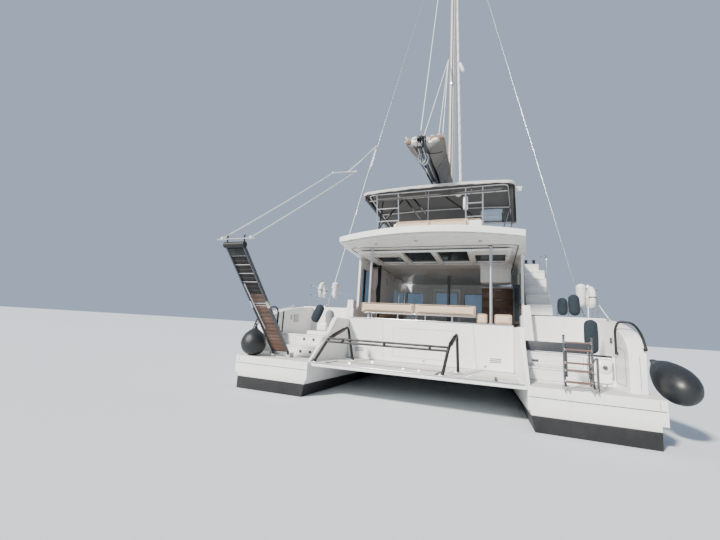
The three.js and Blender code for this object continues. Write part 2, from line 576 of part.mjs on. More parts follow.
// Mast, its post below the roof, stays, headsail furled on the forestay
const mastSection = new THREE.Shape().absellipse(0, 0, 105, 165, 0, 2 * Math.PI, false, 0);
const mastBody = new THREE.ExtrudeGeometry(mastSection, { depth: MAST_LENGTH, bevelEnabled: false, curveSegments: 10 });
const mastTip = box(-60, 60, -420, 260, MAST_LENGTH - 60, MAST_LENGTH + 60);
const gooseHeight = BOOM_PIVOT.z - MAST_FOOT.z;
const gooseLugs = [-1, 1].map((end) => box(-45, 45, -275, -120, gooseHeight + end * 112 - 12, gooseHeight + end * 112 + 12));
const mast = geometryOf(joined(mastBody, mastTip, gooseLugs));
mast.rotateX(MAST_RAKE).translate(MAST_FOOT.x, MAST_FOOT.y, MAST_FOOT.z);
mast.translate(0, 0, 5);
add('mast', mast, FINISH.aluminium);
add('mast_post', rod(point(0, MAST_FOOT.y, SOLE + GAP), point(0, MAST_FOOT.y, CEILING - GAP), 50, 14), FINISH.stainless);

const HOUND_Z = 18900;
const houndY = MAST_FOOT.y - Math.tan(MAST_RAKE) * (HOUND_Z - MAST_FOOT.z);
const CHAINPLATE = point(3590, 3900, 1945);
const STAY_R = 8;
const FORESTAY_FOOT = point(0, 12500, 2092);
const collarOuter = new THREE.CylinderGeometry(215, 215, 60, 20).rotateX(Math.PI / 2).translate(0, houndY, HOUND_Z);
const collarInner = new THREE.CylinderGeometry(185, 185, 90, 20).rotateX(Math.PI / 2).translate(0, houndY, HOUND_Z);
const forestayTop = point(0, houndY + 205, HOUND_Z);
const stayAxis = new THREE.Vector3().subVectors(FORESTAY_FOOT, forestayTop).normalize();
const alongStay = (distance) => forestayTop.clone().addScaledVector(stayAxis, distance);
const STAY_LENGTH = forestayTop.distanceTo(FORESTAY_FOOT);
const shrouds = [-1, 1].map((side) => joined(
  rod(point(side * CHAINPLATE.x, CHAINPLATE.y, CHAINPLATE.z + 260), point(side * 200, houndY, HOUND_Z), STAY_R, 6),
  rod(point(side * CHAINPLATE.x, CHAINPLATE.y, CHAINPLATE.z), point(side * CHAINPLATE.x, CHAINPLATE.y, CHAINPLATE.z + 300), 20, 8),
));
add('stays', geometryOf(cut(collarOuter, collarInner).add(joined(shrouds)).add(
  solid(rod(forestayTop.clone().addScaledVector(stayAxis, -8), alongStay(420), STAY_R, 6)),
)), FINISH.stainless);

const SAIL_TOP = 440;
const SAIL_FOOT = STAY_LENGTH - 520;
add('furled_headsail', geometryOf(joined(
  rod(alongStay(SAIL_TOP), alongStay(SAIL_TOP + 600), 22, 12, 30),
  rod(alongStay(SAIL_TOP + 590), alongStay(SAIL_FOOT), 30, 12, 75),
  rod(alongStay(SAIL_FOOT - 10), alongStay(STAY_LENGTH - 130), 40, 12),
  rod(alongStay(STAY_LENGTH - 300), alongStay(STAY_LENGTH - 180), 120, 16),
)), FINISH.sailcloth);
add('forestay_toggle', geometryOf(joined(
  rod(alongStay(STAY_LENGTH - 120), alongStay(STAY_LENGTH), 22, 10),
  box(-60, 60, 12440, 12560, DECK_FRONT + GAP, DECK_FRONT + 30),
)), FINISH.stainless);

// Boom and the sail bag on it, turned a little to port and raised at the aft end
const boomGroup = new THREE.Group();
boomGroup.position.copy(BOOM_PIVOT);
boomGroup.rotation.set(-BOOM_RISE, 0, BOOM_SWING, 'ZYX');
boat.add(boomGroup);
const boomSection = new THREE.Shape().absellipse(0, 0, 95, 150, 0, 2 * Math.PI, false, 0);
const boomTube = new THREE.ExtrudeGeometry(boomSection, { depth: BOOM_LENGTH - 160, bevelEnabled: false, curveSegments: 8 });
boomTube.rotateX(Math.PI / 2).translate(0, -160, 0);
const gooseBarrel = rod(point(0, 0, -92), point(0, 0, 92), 35, 12);
add('boom', geometryOf(joined(boomTube, gooseBarrel, box(-30, 30, -200, 0, -70, 70))), FINISH.aluminium, boomGroup);

// Bag sections. Columns: distance aft of the mast, half width at the foot and at the lips, height of the lips.
const BAG = [
  [300, 135, 190, 800],
  [1700, 135, 290, 600],
  [3300, 135, 400, 420],
  [4450, 135, 480, 300],
];
const BAG_FOOT = -70;
const bagRings = BAG.map(([back, foot, lip, high]) => [
  point(-foot, -back, BAG_FOOT), point(foot, -back, BAG_FOOT), point(lip, -back, high - 60), point(lip - 40, -back, high),
  point(0, -back, high - 40), point(40 - lip, -back, high), point(-lip, -back, high - 60),
]);
const boomRoom = new THREE.Shape().absellipse(0, 0, 99, 154, 0, 2 * Math.PI, false, 0);
const boomSpace = new THREE.ExtrudeGeometry(boomRoom, { depth: BOOM_LENGTH, bevelEnabled: false, curveSegments: 8 });
boomSpace.rotateX(Math.PI / 2);
add('sail_bag', geometryOf(cut(loft(bagRings.reverse()), boomSpace)), FINISH.canvas, boomGroup);

// Passerelle: two aluminium rails and wooden boards, raised over the port transom
const ramp = new THREE.Group();
ramp.position.copy(PASSERELLE_PIVOT);
ramp.rotation.x = -PASSERELLE_RISE;
boat.add(ramp);
const RAMP_HALF = 205;
const SOCKET_HALF = 245;
const SOCKET_AFT = 400;
const SOCKET_FORE = 560;
const boards = [];
for (let y = -2690; y < -90; y += 96) {
  boards.push(box(-RAMP_HALF + 20, RAMP_HALF - 20, y, y + 78, -12, 14));
}
const rails = [-1, 1].map((side) => box(side * (RAMP_HALF - 15) - 15, side * (RAMP_HALF - 15) + 15, -PASSERELLE_LENGTH, -15, -35, 35));
const crossTubes = [-2720, -1400, -60].map((y) => rod(point(-RAMP_HALF, y, 0), point(RAMP_HALF, y, 0), 16, 8));
add('passerelle', geometryOf(joined(boards, rails, crossTubes, rod(point(-RAMP_HALF, -2720, 0), point(RAMP_HALF, -2720, 0), 45, 12))),
  FINISH.wood, ramp);
const socket = [-1, 1].map((side) => box(
  PASSERELLE_PIVOT.x + side * SOCKET_HALF - 12, PASSERELLE_PIVOT.x + side * SOCKET_HALF + 12, SOCKET_AFT, SOCKET_FORE,
  PLATFORM_TOP + 8, PLATFORM_TOP + 110));
const socketBase = box(PASSERELLE_PIVOT.x - SOCKET_HALF - 12, PASSERELLE_PIVOT.x + SOCKET_HALF + 12, SOCKET_AFT, SOCKET_FORE,
  PLATFORM_TOP + GAP, PLATFORM_TOP + 12);
add('passerelle_socket', geometryOf(joined(socket, socketBase)), FINISH.stainless);

// Boarding ladder, stowed upright at the starboard transom
const ladderRailX = [-185, 185];
const ladderPieces = ladderRailX.map((x) => bentTube([
  point(LADDER_X + x, LADDER_PIVOT_Y, LADDER_PIVOT_Z),
  point(LADDER_X + x, 40, LADDER_PIVOT_Z + 60),
  point(LADDER_X + x, 40, 1480),
], 16));
const TREAD_Z = [790, 960, 1070, 1270, 1380];
const treads = TREAD_Z.map((z) => box(LADDER_X - 190, LADDER_X + 190, 10, 70, z - 12, z + 12));
add('boarding_ladder', geometryOf(joined(ladderPieces, treads)), FINISH.stainless);

// Bracket of the ladder: a base on the platform and a lug on each side of both rails
const LUG_THICK = 8;
const LUG_REACH = 28;
const bracketLugs = ladderRailX.flatMap((x) => [-1, 1].map((side) => {
  const middle = LADDER_X + x + side * LUG_REACH;
  return box(middle - LUG_THICK / 2, middle + LUG_THICK / 2, -85, 100, PLATFORM_TOP + 6, 745);
}));
const bracketBase = box(LADDER_X - 217, LADDER_X + 217, 2, 100, PLATFORM_TOP + GAP, PLATFORM_TOP + 12);
add('ladder_bracket', geometryOf(joined(bracketLugs, bracketBase)), FINISH.stainless);

// Tender rail on the platform: two bent frames and a double crossbar between their aft bends.
// Each row runs from the post's foot over its top and the bend to the aft foot, as x, y, z.
const TENDER_FRAMES = [
  [[-1460, 1140, 640], [-1620, 1140, 1400], [-1610, 150, 1156], [-1900, 150, 640]],
  [[830, 860, 640], [800, 860, 1400], [730, 150, 1156], [630, 150, 640]],
];
const TENDER_TUBE = 24;
const tenderFrames = TENDER_FRAMES.map((row) => bentTube(row.map((corner) => point(...corner)), TENDER_TUBE));
const [portBend, starboardBend] = TENDER_FRAMES.map((row) => row[2]);
const crossbars = [0, 62].map((drop) => rod(
  point(portBend[0] - 0.7 * drop, portBend[1], portBend[2] - drop),
  point(starboardBend[0] - 0.2 * drop, starboardBend[1], starboardBend[2] - drop),
  18,
  8,
));
const belowPlatform = box(-2500, 2500, -300, 2500, 0, PLATFORM_TOP + GAP);
add('tender_rail', geometryOf(cut(joined(tenderFrames, crossbars), belowPlatform)), FINISH.blackTube);

// Teardrop fenders. The starboard one hangs outboard with its eye forward and its belly aft and lower.
// The port one stands on the platform behind the coaming. Profile columns: radius, distance from the eye.
const LONG_FENDER = [
  [0, 0], [45, 14], [67, 106], [150, 308], [229, 567], [265, 798], [241, 1019], [150, 1178], [0, 1240],
];
const ROUND_FENDER = [
  [0, 0], [45, 10], [60, 60], [150, 130], [235, 240], [270, 370], [235, 500], [150, 590], [0, 630],
];
const FENDER_TILT = 0.34;
const teardrop = (profile) => new THREE.LatheGeometry(profile.map(([r, along]) => new THREE.Vector2(r, along)), 20);
add('starboard_fender', teardrop(LONG_FENDER).rotateX(Math.PI + FENDER_TILT).translate(4015, 1320, 1142), FINISH.fender);
add('port_fender', teardrop(ROUND_FENDER).rotateX(-Math.PI / 2).translate(-3390, 130, PLATFORM_TOP + 633), FINISH.fender);

// Guard rails on each side deck: stanchions from the stern rail to the bow, and one wire line
const stanchionAt = (y) => {
  const row = STATIONS.findIndex((s) => s[0] > y);
  const [a, b] = [STATIONS[row - 1], STATIONS[row]];
  const t = (y - a[0]) / (b[0] - a[0]);
  return { x: a[2] + (b[2] - a[2]) * t - 110, z: a[3] + (b[3] - a[3]) * t };
};
const RAIL_HEIGHT = 650;
const STANCHIONS = [2850, 4600, 6400, 8200, 10000, 11700, 13300];
const guardPieces = STANCHIONS.map((y) => {
  const { x, z } = stanchionAt(y);
  return rod(point(x, y, z + 8), point(x, y, z + RAIL_HEIGHT), 14, 8);
});
for (const height of [0.55, 0.98]) {
  for (let i = 1; i < STANCHIONS.length; i++) {
    const [a, b] = [STANCHIONS[i - 1], STANCHIONS[i]].map((y) => ({ y, ...stanchionAt(y) }));
    guardPieces.push(rod(point(a.x, a.y, a.z + RAIL_HEIGHT * height), point(b.x, b.y, b.z + RAIL_HEIGHT * height), 5, 6));
  }
}
const guard = joined(guardPieces);
add('starboard_guard_rail', geometryOf(guard), FINISH.stainless);
add('port_guard_rail', geometryOf(toPort(guard)), FINISH.stainless);

// Black grab rails over the curved coamings
const grab = bentTube([
  point(3395, 950, 1220), point(3395, 950, 1640), point(3440, 920, 1780), point(3600, 850, 1760),
  point(3640, 760, 1690), point(3640, 560, 1560), point(3640, 420, 1330),
], 19);
add('starboard_grab_rail', geometryOf(grab), FINISH.blackTube);
add('port_grab_rail', geometryOf(toPort(grab)), FINISH.blackTube);

// Rudders, saildrives and propellers
const rudderPlan = (chordAft, chordFore, half) => {
  const foil = new THREE.Shape();
  foil.moveTo(0, -chordAft);
  foil.bezierCurveTo(half, -chordAft * 0.3, half * 1.4, chordFore * 0.6, 0, chordFore);
  foil.bezierCurveTo(-half * 1.4, chordFore * 0.6, -half, -chordAft * 0.3, 0, -chordAft);
  return foil;
};
const rudderBlade = planPlate(rudderPlan(330, 150, 45), -1020, -400, 6).translate(RUDDER_X, RUDDER_Y, 0);
const rudderStock = rod(point(RUDDER_X, RUDDER_Y, -420), point(RUDDER_X, RUDDER_Y, -262), 32, 12);
const rudder = joined(rudderBlade, rudderStock);
add('starboard_rudder', geometryOf(rudder), FINISH.fender);
add('port_rudder', geometryOf(toPort(rudder)), FINISH.fender);

const driveLeg = planPlate(rudderPlan(160, 130, 50), SHAFT_Z, -300, 6).translate(RUDDER_X, DRIVE_Y, 0);
const driveBulb = rod(point(RUDDER_X, DRIVE_Y - 260, SHAFT_Z), point(RUDDER_X, DRIVE_Y + 200, SHAFT_Z), 70, 14, 35);
const drive = cut(joined(driveLeg, driveBulb), hullBlank(GAP));
add('starboard_saildrive', geometryOf(drive), FINISH.fender);
add('port_saildrive', geometryOf(toPort(drive)), FINISH.fender);

const propY = DRIVE_Y - 330;
const blades = [0, 120, 240].map((degrees) => {
  const blade = new THREE.SphereGeometry(1, 10, 6).scale(75, 9, 110).rotateZ(0.6).translate(0, 0, 125);
  return blade.rotateY(THREE.MathUtils.degToRad(degrees)).translate(RUDDER_X, propY, SHAFT_Z);
});
const hub = rod(point(RUDDER_X, propY - 70, SHAFT_Z), point(RUDDER_X, propY + 62, SHAFT_Z), 30, 14, 55);
const propeller = joined(hub, blades);
add('starboard_propeller', geometryOf(propeller), FINISH.bronze);
add('port_propeller', geometryOf(toPort(propeller)), FINISH.bronze);

export default boat;
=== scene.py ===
"""Looks of a sailing catamaran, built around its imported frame.

Metres. +X is starboard, +Y is forward, +Z is up, and z = 0 is the waterline.
"""

import json
import logging
import math
from dataclasses import dataclass
from enum import Enum
from typing import Sequence

import bmesh
import bpy
import numpy as np
from mathutils import Matrix, Vector, noise
from mathutils.bvhtree import BVHTree

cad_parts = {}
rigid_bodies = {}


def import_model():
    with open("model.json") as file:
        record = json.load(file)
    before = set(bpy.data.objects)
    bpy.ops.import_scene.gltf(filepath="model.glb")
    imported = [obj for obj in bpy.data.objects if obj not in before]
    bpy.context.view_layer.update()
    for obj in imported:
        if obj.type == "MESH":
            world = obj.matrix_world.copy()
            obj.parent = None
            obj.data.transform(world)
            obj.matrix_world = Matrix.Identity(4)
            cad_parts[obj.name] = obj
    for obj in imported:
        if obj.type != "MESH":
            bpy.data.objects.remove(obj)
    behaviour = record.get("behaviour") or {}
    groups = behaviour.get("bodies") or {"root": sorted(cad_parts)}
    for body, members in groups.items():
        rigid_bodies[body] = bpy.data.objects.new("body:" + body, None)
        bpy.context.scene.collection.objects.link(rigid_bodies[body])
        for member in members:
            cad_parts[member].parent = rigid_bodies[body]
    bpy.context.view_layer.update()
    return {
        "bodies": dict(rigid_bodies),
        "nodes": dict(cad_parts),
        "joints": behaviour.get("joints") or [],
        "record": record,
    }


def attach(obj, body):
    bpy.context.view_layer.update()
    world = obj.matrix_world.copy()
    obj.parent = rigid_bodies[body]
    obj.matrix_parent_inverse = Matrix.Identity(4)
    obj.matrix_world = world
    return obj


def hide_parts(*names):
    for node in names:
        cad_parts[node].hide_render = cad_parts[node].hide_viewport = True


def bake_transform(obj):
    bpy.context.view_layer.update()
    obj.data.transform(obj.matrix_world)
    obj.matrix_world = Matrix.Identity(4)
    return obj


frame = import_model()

LOG = logging.getLogger("catamaran")

Place = Sequence[float]
Colour = tuple[float, float, float]
Socket = bpy.types.NodeSocket
BOAT = "boat"
UP = Vector((0, 0, 1))

# Points closer than this become one.
MERGE = 1e-5


# Node helpers

class Nodes:
    """Short calls for the node tree of one material."""

    def __init__(self, name: str) -> None:
        """Makes an empty material with a Principled shader.

        Args:
            name: the material's name.
        """
        self.material = bpy.data.materials.new(name)
        self.material.use_nodes = True
        self.tree = self.material.node_tree
        self.tree.nodes.clear()
        self.out = self.tree.nodes.new("ShaderNodeOutputMaterial")
        self.shader = self.add("ShaderNodeBsdfPrincipled")
        self.tree.links.new(self.shader.outputs["BSDF"], self.out.inputs["Surface"])
        self.place = self.add("ShaderNodeTexCoord").outputs["Object"]
        self.normal: Socket | None = None

    def add(self, kind: str, inputs: dict | None = None, **settings: object) -> bpy.types.Node:
        """Adds a node.

        Args:
            kind: the node's type.
            inputs: sockets or values by input name or number.
            settings: attributes of the node.

        Returns:
            The new node.
        """
        node = self.tree.nodes.new(kind)
        for key, value in settings.items():
            setattr(node, key, value)
        for key, value in (inputs or {}).items():
            if isinstance(value, bpy.types.NodeSocket):
                self.tree.links.new(value, node.inputs[key])
            else:
                node.inputs[key].default_value = value
        return node

    def turned(self, scale: Place = (1, 1, 1), turn: Place = (0, 0, 0), shift: Place = (0, 0, 0)) -> Socket:
        """Object coordinates, scaled, turned and shifted."""
        inputs = {"Vector": self.place, "Location": shift, "Rotation": turn, "Scale": scale}
        return self.add("ShaderNodeMapping", inputs).outputs["Vector"]

    def noise(self, scale: float, detail: float = 3, rough: float = 0.5, where: Socket | None = None) -> Socket:
        """Cloudy noise from 0 to 1."""
        inputs = {"Vector": where or self.place, "Scale": scale, "Detail": detail, "Roughness": rough}
        return self.add("ShaderNodeTexNoise", inputs).outputs["Fac"]

    def span(self, value: Socket, low: float, high: float, to_low: float = 0, to_high: float = 1) -> Socket:
        """A value mapped from one span to another, and clamped."""
        inputs = {"Value": value, "From Min": low, "From Max": high, "To Min": to_low, "To Max": to_high}
        return self.add("ShaderNodeMapRange", inputs).outputs["Result"]

    def sum(self, kind: str, first: Socket | float, second: Socket | float = 0.0) -> Socket:
        """A Math node's result."""
        return self.add("ShaderNodeMath", {0: first, 1: second}, operation=kind).outputs[0]

    def part(self, axis: str, where: Socket | None = None) -> Socket:
        """One coordinate of a place."""
        return self.add("ShaderNodeSeparateXYZ", {0: where or self.place}).outputs[axis]

    def wave(self, scale: float, where: Socket, axis: str = "X") -> Socket:
        """Even bands across one axis, from 0 to 1."""
        return self.add("ShaderNodeTexWave", {"Vector": where, "Scale": scale}, bands_direction=axis).outputs["Fac"]

    def mix(self, share: Socket | float, first: Socket | Colour, second: Socket | Colour) -> Socket:
        """Blends two colours.

        Args:
            share: how much of the second colour.
            first: one colour.
            second: the other colour.

        Returns:
            The blended colour.
        """
        node = self.add("ShaderNodeMix", data_type="RGBA")
        for key, value in ((0, share), (6, first), (7, second)):
            if isinstance(value, bpy.types.NodeSocket):
                self.tree.links.new(value, node.inputs[key])
            else:
                node.inputs[key].default_value = value if key == 0 else (*value, 1.0)
        return node.outputs[2]

    def bump(self, height: Socket, strength: float, distance: float) -> None:
        """Adds one layer of bump to the normal.

        Args:
            height: height of the surface.
            strength: how much it shows.
            distance: its depth in metres.
        """
        inputs: dict = {"Height": height, "Strength": strength, "Distance": distance}
        if self.normal:
            inputs["Normal"] = self.normal
        self.normal = self.add("ShaderNodeBump", inputs).outputs["Normal"]

    def finish(self, colour: Socket, roughness: Socket | float, **constants: float) -> None:
        """Joins the colour, the roughness and the bump to the shader.

        Args:
            colour: the base colour.
            roughness: a socket or a number.
            constants: shader values that are the same all over, with _ for a space.
        """
        self.tree.links.new(colour, self.shader.inputs["Base Color"])
        if isinstance(roughness, bpy.types.NodeSocket):
            self.tree.links.new(roughness, self.shader.inputs["Roughness"])
        else:
            self.shader.inputs["Roughness"].default_value = roughness
        for key, value in constants.items():
            self.shader.inputs[key.replace("_", " ")].default_value = value
        if self.normal:
            self.tree.links.new(self.normal, self.shader.inputs["Normal"])


# Finishes

@dataclass(frozen=True)
class Finish:
    """A surface finish, whose material is made once.

    Attributes:
        name: name of the material.
        colour: main colour.
        slot: the record's slot for pieces in this finish; not used.
    """

    name: str
    colour: Colour
    slot: str

    def material(self) -> bpy.types.Material:
        """Makes the material on first use.

        Returns:
            The finish's material.
        """
        made = bpy.data.materials.get(self.name)
        if made is None:
            nodes = Nodes(self.name)
            self.paint(nodes)
            made = nodes.material
        return made

    def paint(self, n: Nodes) -> None:
        """Lays out the nodes, each kind of finish in its own way."""
        raise NotImplementedError

    def shade(self, factor: float) -> Colour:
        """The main colour made darker or lighter."""
        return tuple(min(1.0, c * factor) for c in self.colour)


@dataclass(frozen=True)
class Moulding(Finish):
    """Gelcoat or moulded plastic with faint clouds, rain streaks and a fine peel."""

    roughness: float = 0.28
    streaks: float = 0.22

    def paint(self, n: Nodes) -> None:
        """Lays the finish out as nodes.

        Args:
            n: the material's nodes.
        """
        base = self.weathered(n)
        rough = n.span(n.noise(3.0, 4), 0.3, 0.75, self.roughness - 0.05, self.roughness + 0.16)
        n.finish(base, rough, Coat_Weight=0.25, Coat_Roughness=0.12)

    def weathered(self, n: Nodes) -> Socket:
        """Adds clouds, rain streaks and a fine peel.

        Args:
            n: the material's nodes.

        Returns:
            The weathered colour.
        """
        cloud = n.span(n.noise(0.9, 5, 0.6), 0.35, 0.75, 0, 0.5)
        base = n.mix(cloud, self.colour, self.shade(0.9))
        rain = n.noise(1.0, 4, 0.62, n.turned((9, 9, 0.55)))
        base = n.mix(n.span(rain, 0.52, 0.78, 0, self.streaks), base, (0.55, 0.51, 0.44))
        n.bump(n.noise(70, 2), 0.05, 0.002)
        n.bump(n.noise(1.6, 2), 0.12, 0.012)
        return base


@dataclass(frozen=True)
class HullPaint(Moulding):
    """Gelcoat above a dark bottom paint, with a weed line between them."""

    line: float = 0.245
    bottom: Colour = (0.007, 0.0075, 0.009)

    def paint(self, n: Nodes) -> None:
        """Lays the finish out as nodes.

        Args:
            n: the material's nodes.
        """
        white = self.weathered(n)
        height = n.part("Z")
        wavy = n.sum("ADD", height, n.span(n.noise(7, 5, 0.7), 0, 1, -0.015, 0.015))
        splash = n.span(wavy, self.line, self.line + 0.16, 0.35, 0.0)
        white = n.mix(splash, white, (0.46, 0.44, 0.36))
        dark = n.mix(n.span(n.noise(5, 6, 0.65), 0.35, 0.7), self.bottom, (0.015, 0.014, 0.016))
        weed = n.span(n.noise(14, 4, 0.7, n.turned((1, 1, 0.25))), 0.5, 0.72, 0, 0.6)
        dark = n.mix(weed, dark, (0.022, 0.023, 0.016))
        fresh = n.span(wavy, self.line - 0.035, self.line, 0, 0.55)
        dark = n.mix(fresh, dark, (0.030, 0.029, 0.032))
        painted = n.span(height, self.line - 0.004, self.line + 0.004, 1, 0)
        rough = n.span(height, self.line - 0.004, self.line + 0.004, 0.62, self.roughness)
        n.bump(n.noise(40, 4, 0.6), 0.06, 0.003)
        n.finish(n.mix(painted, white, dark), rough)


@dataclass(frozen=True)
class NonSlip(Finish):
    """Deck with a fine raised grain and worn grey patches."""

    grain: float = 240

    def paint(self, n: Nodes) -> None:
        """Lays the finish out as nodes.

        Args:
            n: the material's nodes.
        """
        worn = n.span(n.noise(1.7, 6, 0.65), 0.4, 0.75, 0, 0.65)
        base = n.mix(worn, self.colour, self.shade(0.8))
        grime = n.span(n.noise(11, 5, 0.7), 0.55, 0.8, 0, 0.4)
        base = n.mix(grime, base, (0.36, 0.34, 0.3))
        cells = n.add("ShaderNodeTexVoronoi", {"Vector": n.place, "Scale": self.grain}).outputs["Distance"]
        n.bump(cells, 0.25, 0.002)
        n.finish(base, n.span(n.noise(6), 0.3, 0.7, 0.55, 0.8))


@dataclass(frozen=True)
class Tinted(Finish):
    """Tinted glass or clear vinyl with faint smears."""

    clear: float = 0.7
    haze: float = 0.06

    def paint(self, n: Nodes) -> None:
        """Lays the finish out as nodes.

        Args:
            n: the material's nodes.
        """
        smear = n.noise(2.2, 6, 0.7, n.turned((1, 1, 0.5)))
        base = n.mix(n.span(smear, 0.4, 0.8, 0, 0.35), self.colour, self.shade(1.7))
        n.bump(n.noise(1.2, 1), 0.03, 0.01)
        rough = n.span(smear, 0.4, 0.8, self.haze, self.haze + 0.12)
        n.finish(base, rough, Transmission_Weight=self.clear, IOR=1.1)


@dataclass(frozen=True)
class Metal(Finish):
    """Metal with fine scratches and dull salt spots."""

    roughness: float = 0.2
    metallic: float = 1.0

    def paint(self, n: Nodes) -> None:
        """Lays the finish out as nodes.

        Args:
            n: the material's nodes.
        """
        spots = n.span(n.noise(22, 6, 0.7), 0.52, 0.75, 0, 0.5)
        base = n.mix(spots, self.colour, self.shade(0.66))
        fine = n.noise(60, 3, 0.6, n.turned((6, 6, 0.6)))
        rough = n.span(fine, 0.3, 0.75, self.roughness, self.roughness + 0.22)
        n.bump(fine, 0.05, 0.001)
        n.finish(base, rough, Metallic=self.metallic)


@dataclass(frozen=True)
class Woven(Finish):
    """Woven cloth with its threads, soft creases and faded patches."""

    thread: float = 420
    crease: float = 0.35
    fade: float = 0.82
    sheen: float = 0.25

    def paint(self, n: Nodes) -> None:
        """Lays the finish out as nodes.

        Args:
            n: the material's nodes.
        """
        faded = n.span(n.noise(1.3, 5, 0.6), 0.35, 0.72)
        base = n.mix(faded, self.colour, self.shade(self.fade))
        flecks = n.span(n.noise(95, 3, 0.8), 0.4, 0.68, 0, 0.4)
        base = n.mix(flecks, base, self.shade(0.68))
        stains = n.span(n.noise(3.1, 6, 0.75), 0.6, 0.82, 0, 0.3)
        base = n.mix(stains, base, tuple(c * 0.75 + 0.02 for c in self.colour))
        warp = n.wave(self.thread, n.turned((1, 1, 0.2)), "X")
        weft = n.wave(self.thread, n.turned((0.2, 1, 1)), "Z")
        n.bump(n.sum("MULTIPLY", warp, weft), 0.3, 0.0012)
        n.bump(n.noise(5.5, 4, 0.55, n.turned((1, 1, 2.2))), self.crease, 0.02)
        n.finish(base, n.span(n.noise(30), 0.3, 0.7, 0.78, 0.95), Sheen_Weight=self.sheen)


@dataclass(frozen=True)
class Vinyl(Finish):
    """Blown rubber or vinyl with scuffs and dried salt."""

    roughness: float = 0.34

    def paint(self, n: Nodes) -> None:
        """Lays the finish out as nodes.

        Args:
            n: the material's nodes.
        """
        scuff = n.span(n.noise(9, 7, 0.75, n.turned((1, 1, 3))), 0.5, 0.72, 0, 0.55)
        base = n.mix(scuff, self.colour, tuple(c * 0.9 + 0.006 for c in self.colour))
        salt = n.span(n.noise(48, 5, 0.7), 0.6, 0.75, 0, 0.12)
        base = n.mix(salt, base, (0.42, 0.42, 0.4))
        n.bump(n.noise(55, 3), 0.1, 0.002)
        n.finish(base, n.span(n.noise(7, 4), 0.3, 0.75, self.roughness, self.roughness + 0.25))


@dataclass(frozen=True)
class Timber(Finish):
    """Weathered boards with grain along one direction and a tone for each board."""

    turn: Place = (0.0, 0.0, 0.0)
    pitch: float = 0.096
    dark: float = 0.42
    grain: float = 18.0
    gloss: float = 0.72
    bleach: float = 0.4

    def paint(self, n: Nodes) -> None:
        """Lays the finish out as nodes.

        Args:
            n: the material's nodes.
        """
        where = n.turned((1, 1, 1), self.turn)
        across = n.part("Y", where)
        board = n.sum("FLOOR", n.sum("DIVIDE", across, self.pitch))
        tone = n.add("ShaderNodeTexWhiteNoise", {"W": board}, noise_dimensions="1D").outputs["Value"]
        along = n.turned((self.grain * 0.12, self.grain, self.grain), self.turn)
        grain = n.noise(3.2, 7, 0.68, along)
        base = n.mix(n.span(grain, 0.32, 0.7), self.colour, self.shade(self.dark))
        base = n.mix(n.span(tone, 0, 1, 0, 0.55), base, self.shade(1.5))
        grey = n.span(n.noise(2.4, 6, 0.7), 0.52, 0.74, 0, self.bleach)
        base = n.mix(grey, base, (0.3, 0.27, 0.24))
        n.bump(grain, 0.3, 0.003)
        n.finish(base, n.span(grain, 0.3, 0.7, self.gloss, self.gloss + 0.18))


@dataclass(frozen=True)
class Braid(Finish):
    """Braided rope with a coloured fleck."""

    fleck: Colour = (0.3, 0.3, 0.3)

    def paint(self, n: Nodes) -> None:
        """Lays the finish out as nodes.

        Args:
            n: the material's nodes.
        """
        spots = n.span(n.noise(130, 2, 0.5), 0.56, 0.62, 0, 0.7)
        base = n.mix(spots, n.mix(n.noise(3, 3), self.colour, self.shade(0.78)), self.fleck)
        n.bump(n.wave(90.0, n.turned((1, 1, 1), (0.6, 0.5, 0.3))), 0.4, 0.002)
        n.finish(base, 0.88)


WHITE = Moulding("white_gelcoat", (0.85, 0.845, 0.82), "gelcoat")
HULL = HullPaint("hull_gelcoat_and_bottom_paint", (0.85, 0.845, 0.82), "gelcoat")
CEILING = Moulding("ceiling_panel", (0.66, 0.655, 0.645), "gelcoat", roughness=0.45, streaks=0.05)
GREY_MOULDING = Moulding("grey_moulding", (0.42, 0.43, 0.44), "gelcoat", roughness=0.4)
DECK = NonSlip("deck_non_slip", (0.74, 0.73, 0.69), "deck")
DECK_GREY = NonSlip("deck_pad", (0.55, 0.555, 0.55), "deck")
PLANK = NonSlip("deck_planks", (0.70, 0.68, 0.63), "deck", grain=120)
SEAM = Vinyl("dark_seam", (0.07, 0.07, 0.072), "black_tube", roughness=0.6)
WINDOW = Tinted("window_glass", (0.30, 0.36, 0.40), "glass", clear=0.92)
DARK_GLASS = Tinted("dark_glass", (0.028, 0.034, 0.04), "glass", clear=0.25)
CLEAR_VINYL = Tinted("clear_vinyl", (0.62, 0.70, 0.76), "glass", clear=0.9, haze=0.14)
STEEL = Metal("stainless_tube", (0.62, 0.63, 0.65), "stainless")
ALLOY = Metal("painted_alloy", (0.76, 0.70, 0.60), "aluminium", roughness=0.38, metallic=0.15)
RAW_ALLOY = Metal("anodised_alloy", (0.55, 0.56, 0.58), "aluminium", roughness=0.34)
# Dark alloy colour; on the boom this dark colour is painted shade.
DARK_ALLOY_AND_PAINTED_SHADE = Metal("dark_anodised_alloy", (0.085, 0.088, 0.10), "aluminium", roughness=0.4, metallic=0.4)
# Darkened stainless; on the ladder's rails the darkness is a painted dark reflection.
DARK_STEEL_AND_PAINTED_REFLECTION = Metal("dull_stainless_tube", (0.17, 0.172, 0.18), "stainless", roughness=0.3)
BLACK = Vinyl("black_tube_paint", (0.005, 0.0053, 0.006), "black_tube", roughness=0.42)
BRONZE = Metal("dull_bronze", (0.42, 0.28, 0.12), "bronze", roughness=0.4)
CANVAS = Woven("grey_canvas", (0.082, 0.080, 0.079), "canvas", crease=0.25, sheen=0.05)
EDGING = Woven("canvas_edging", (0.62, 0.61, 0.58), "canvas", crease=0.2)
BAG = Woven("bag_canvas", (0.20, 0.183, 0.162), "canvas", crease=0.5, sheen=0.08)
TAN = Woven("tan_cushion", (0.66, 0.50, 0.36), "cushion", crease=0.16, fade=0.9)
SAIL = Woven("sailcloth", (0.80, 0.765, 0.68), "sailcloth", thread=600, crease=0.5, fade=0.9)
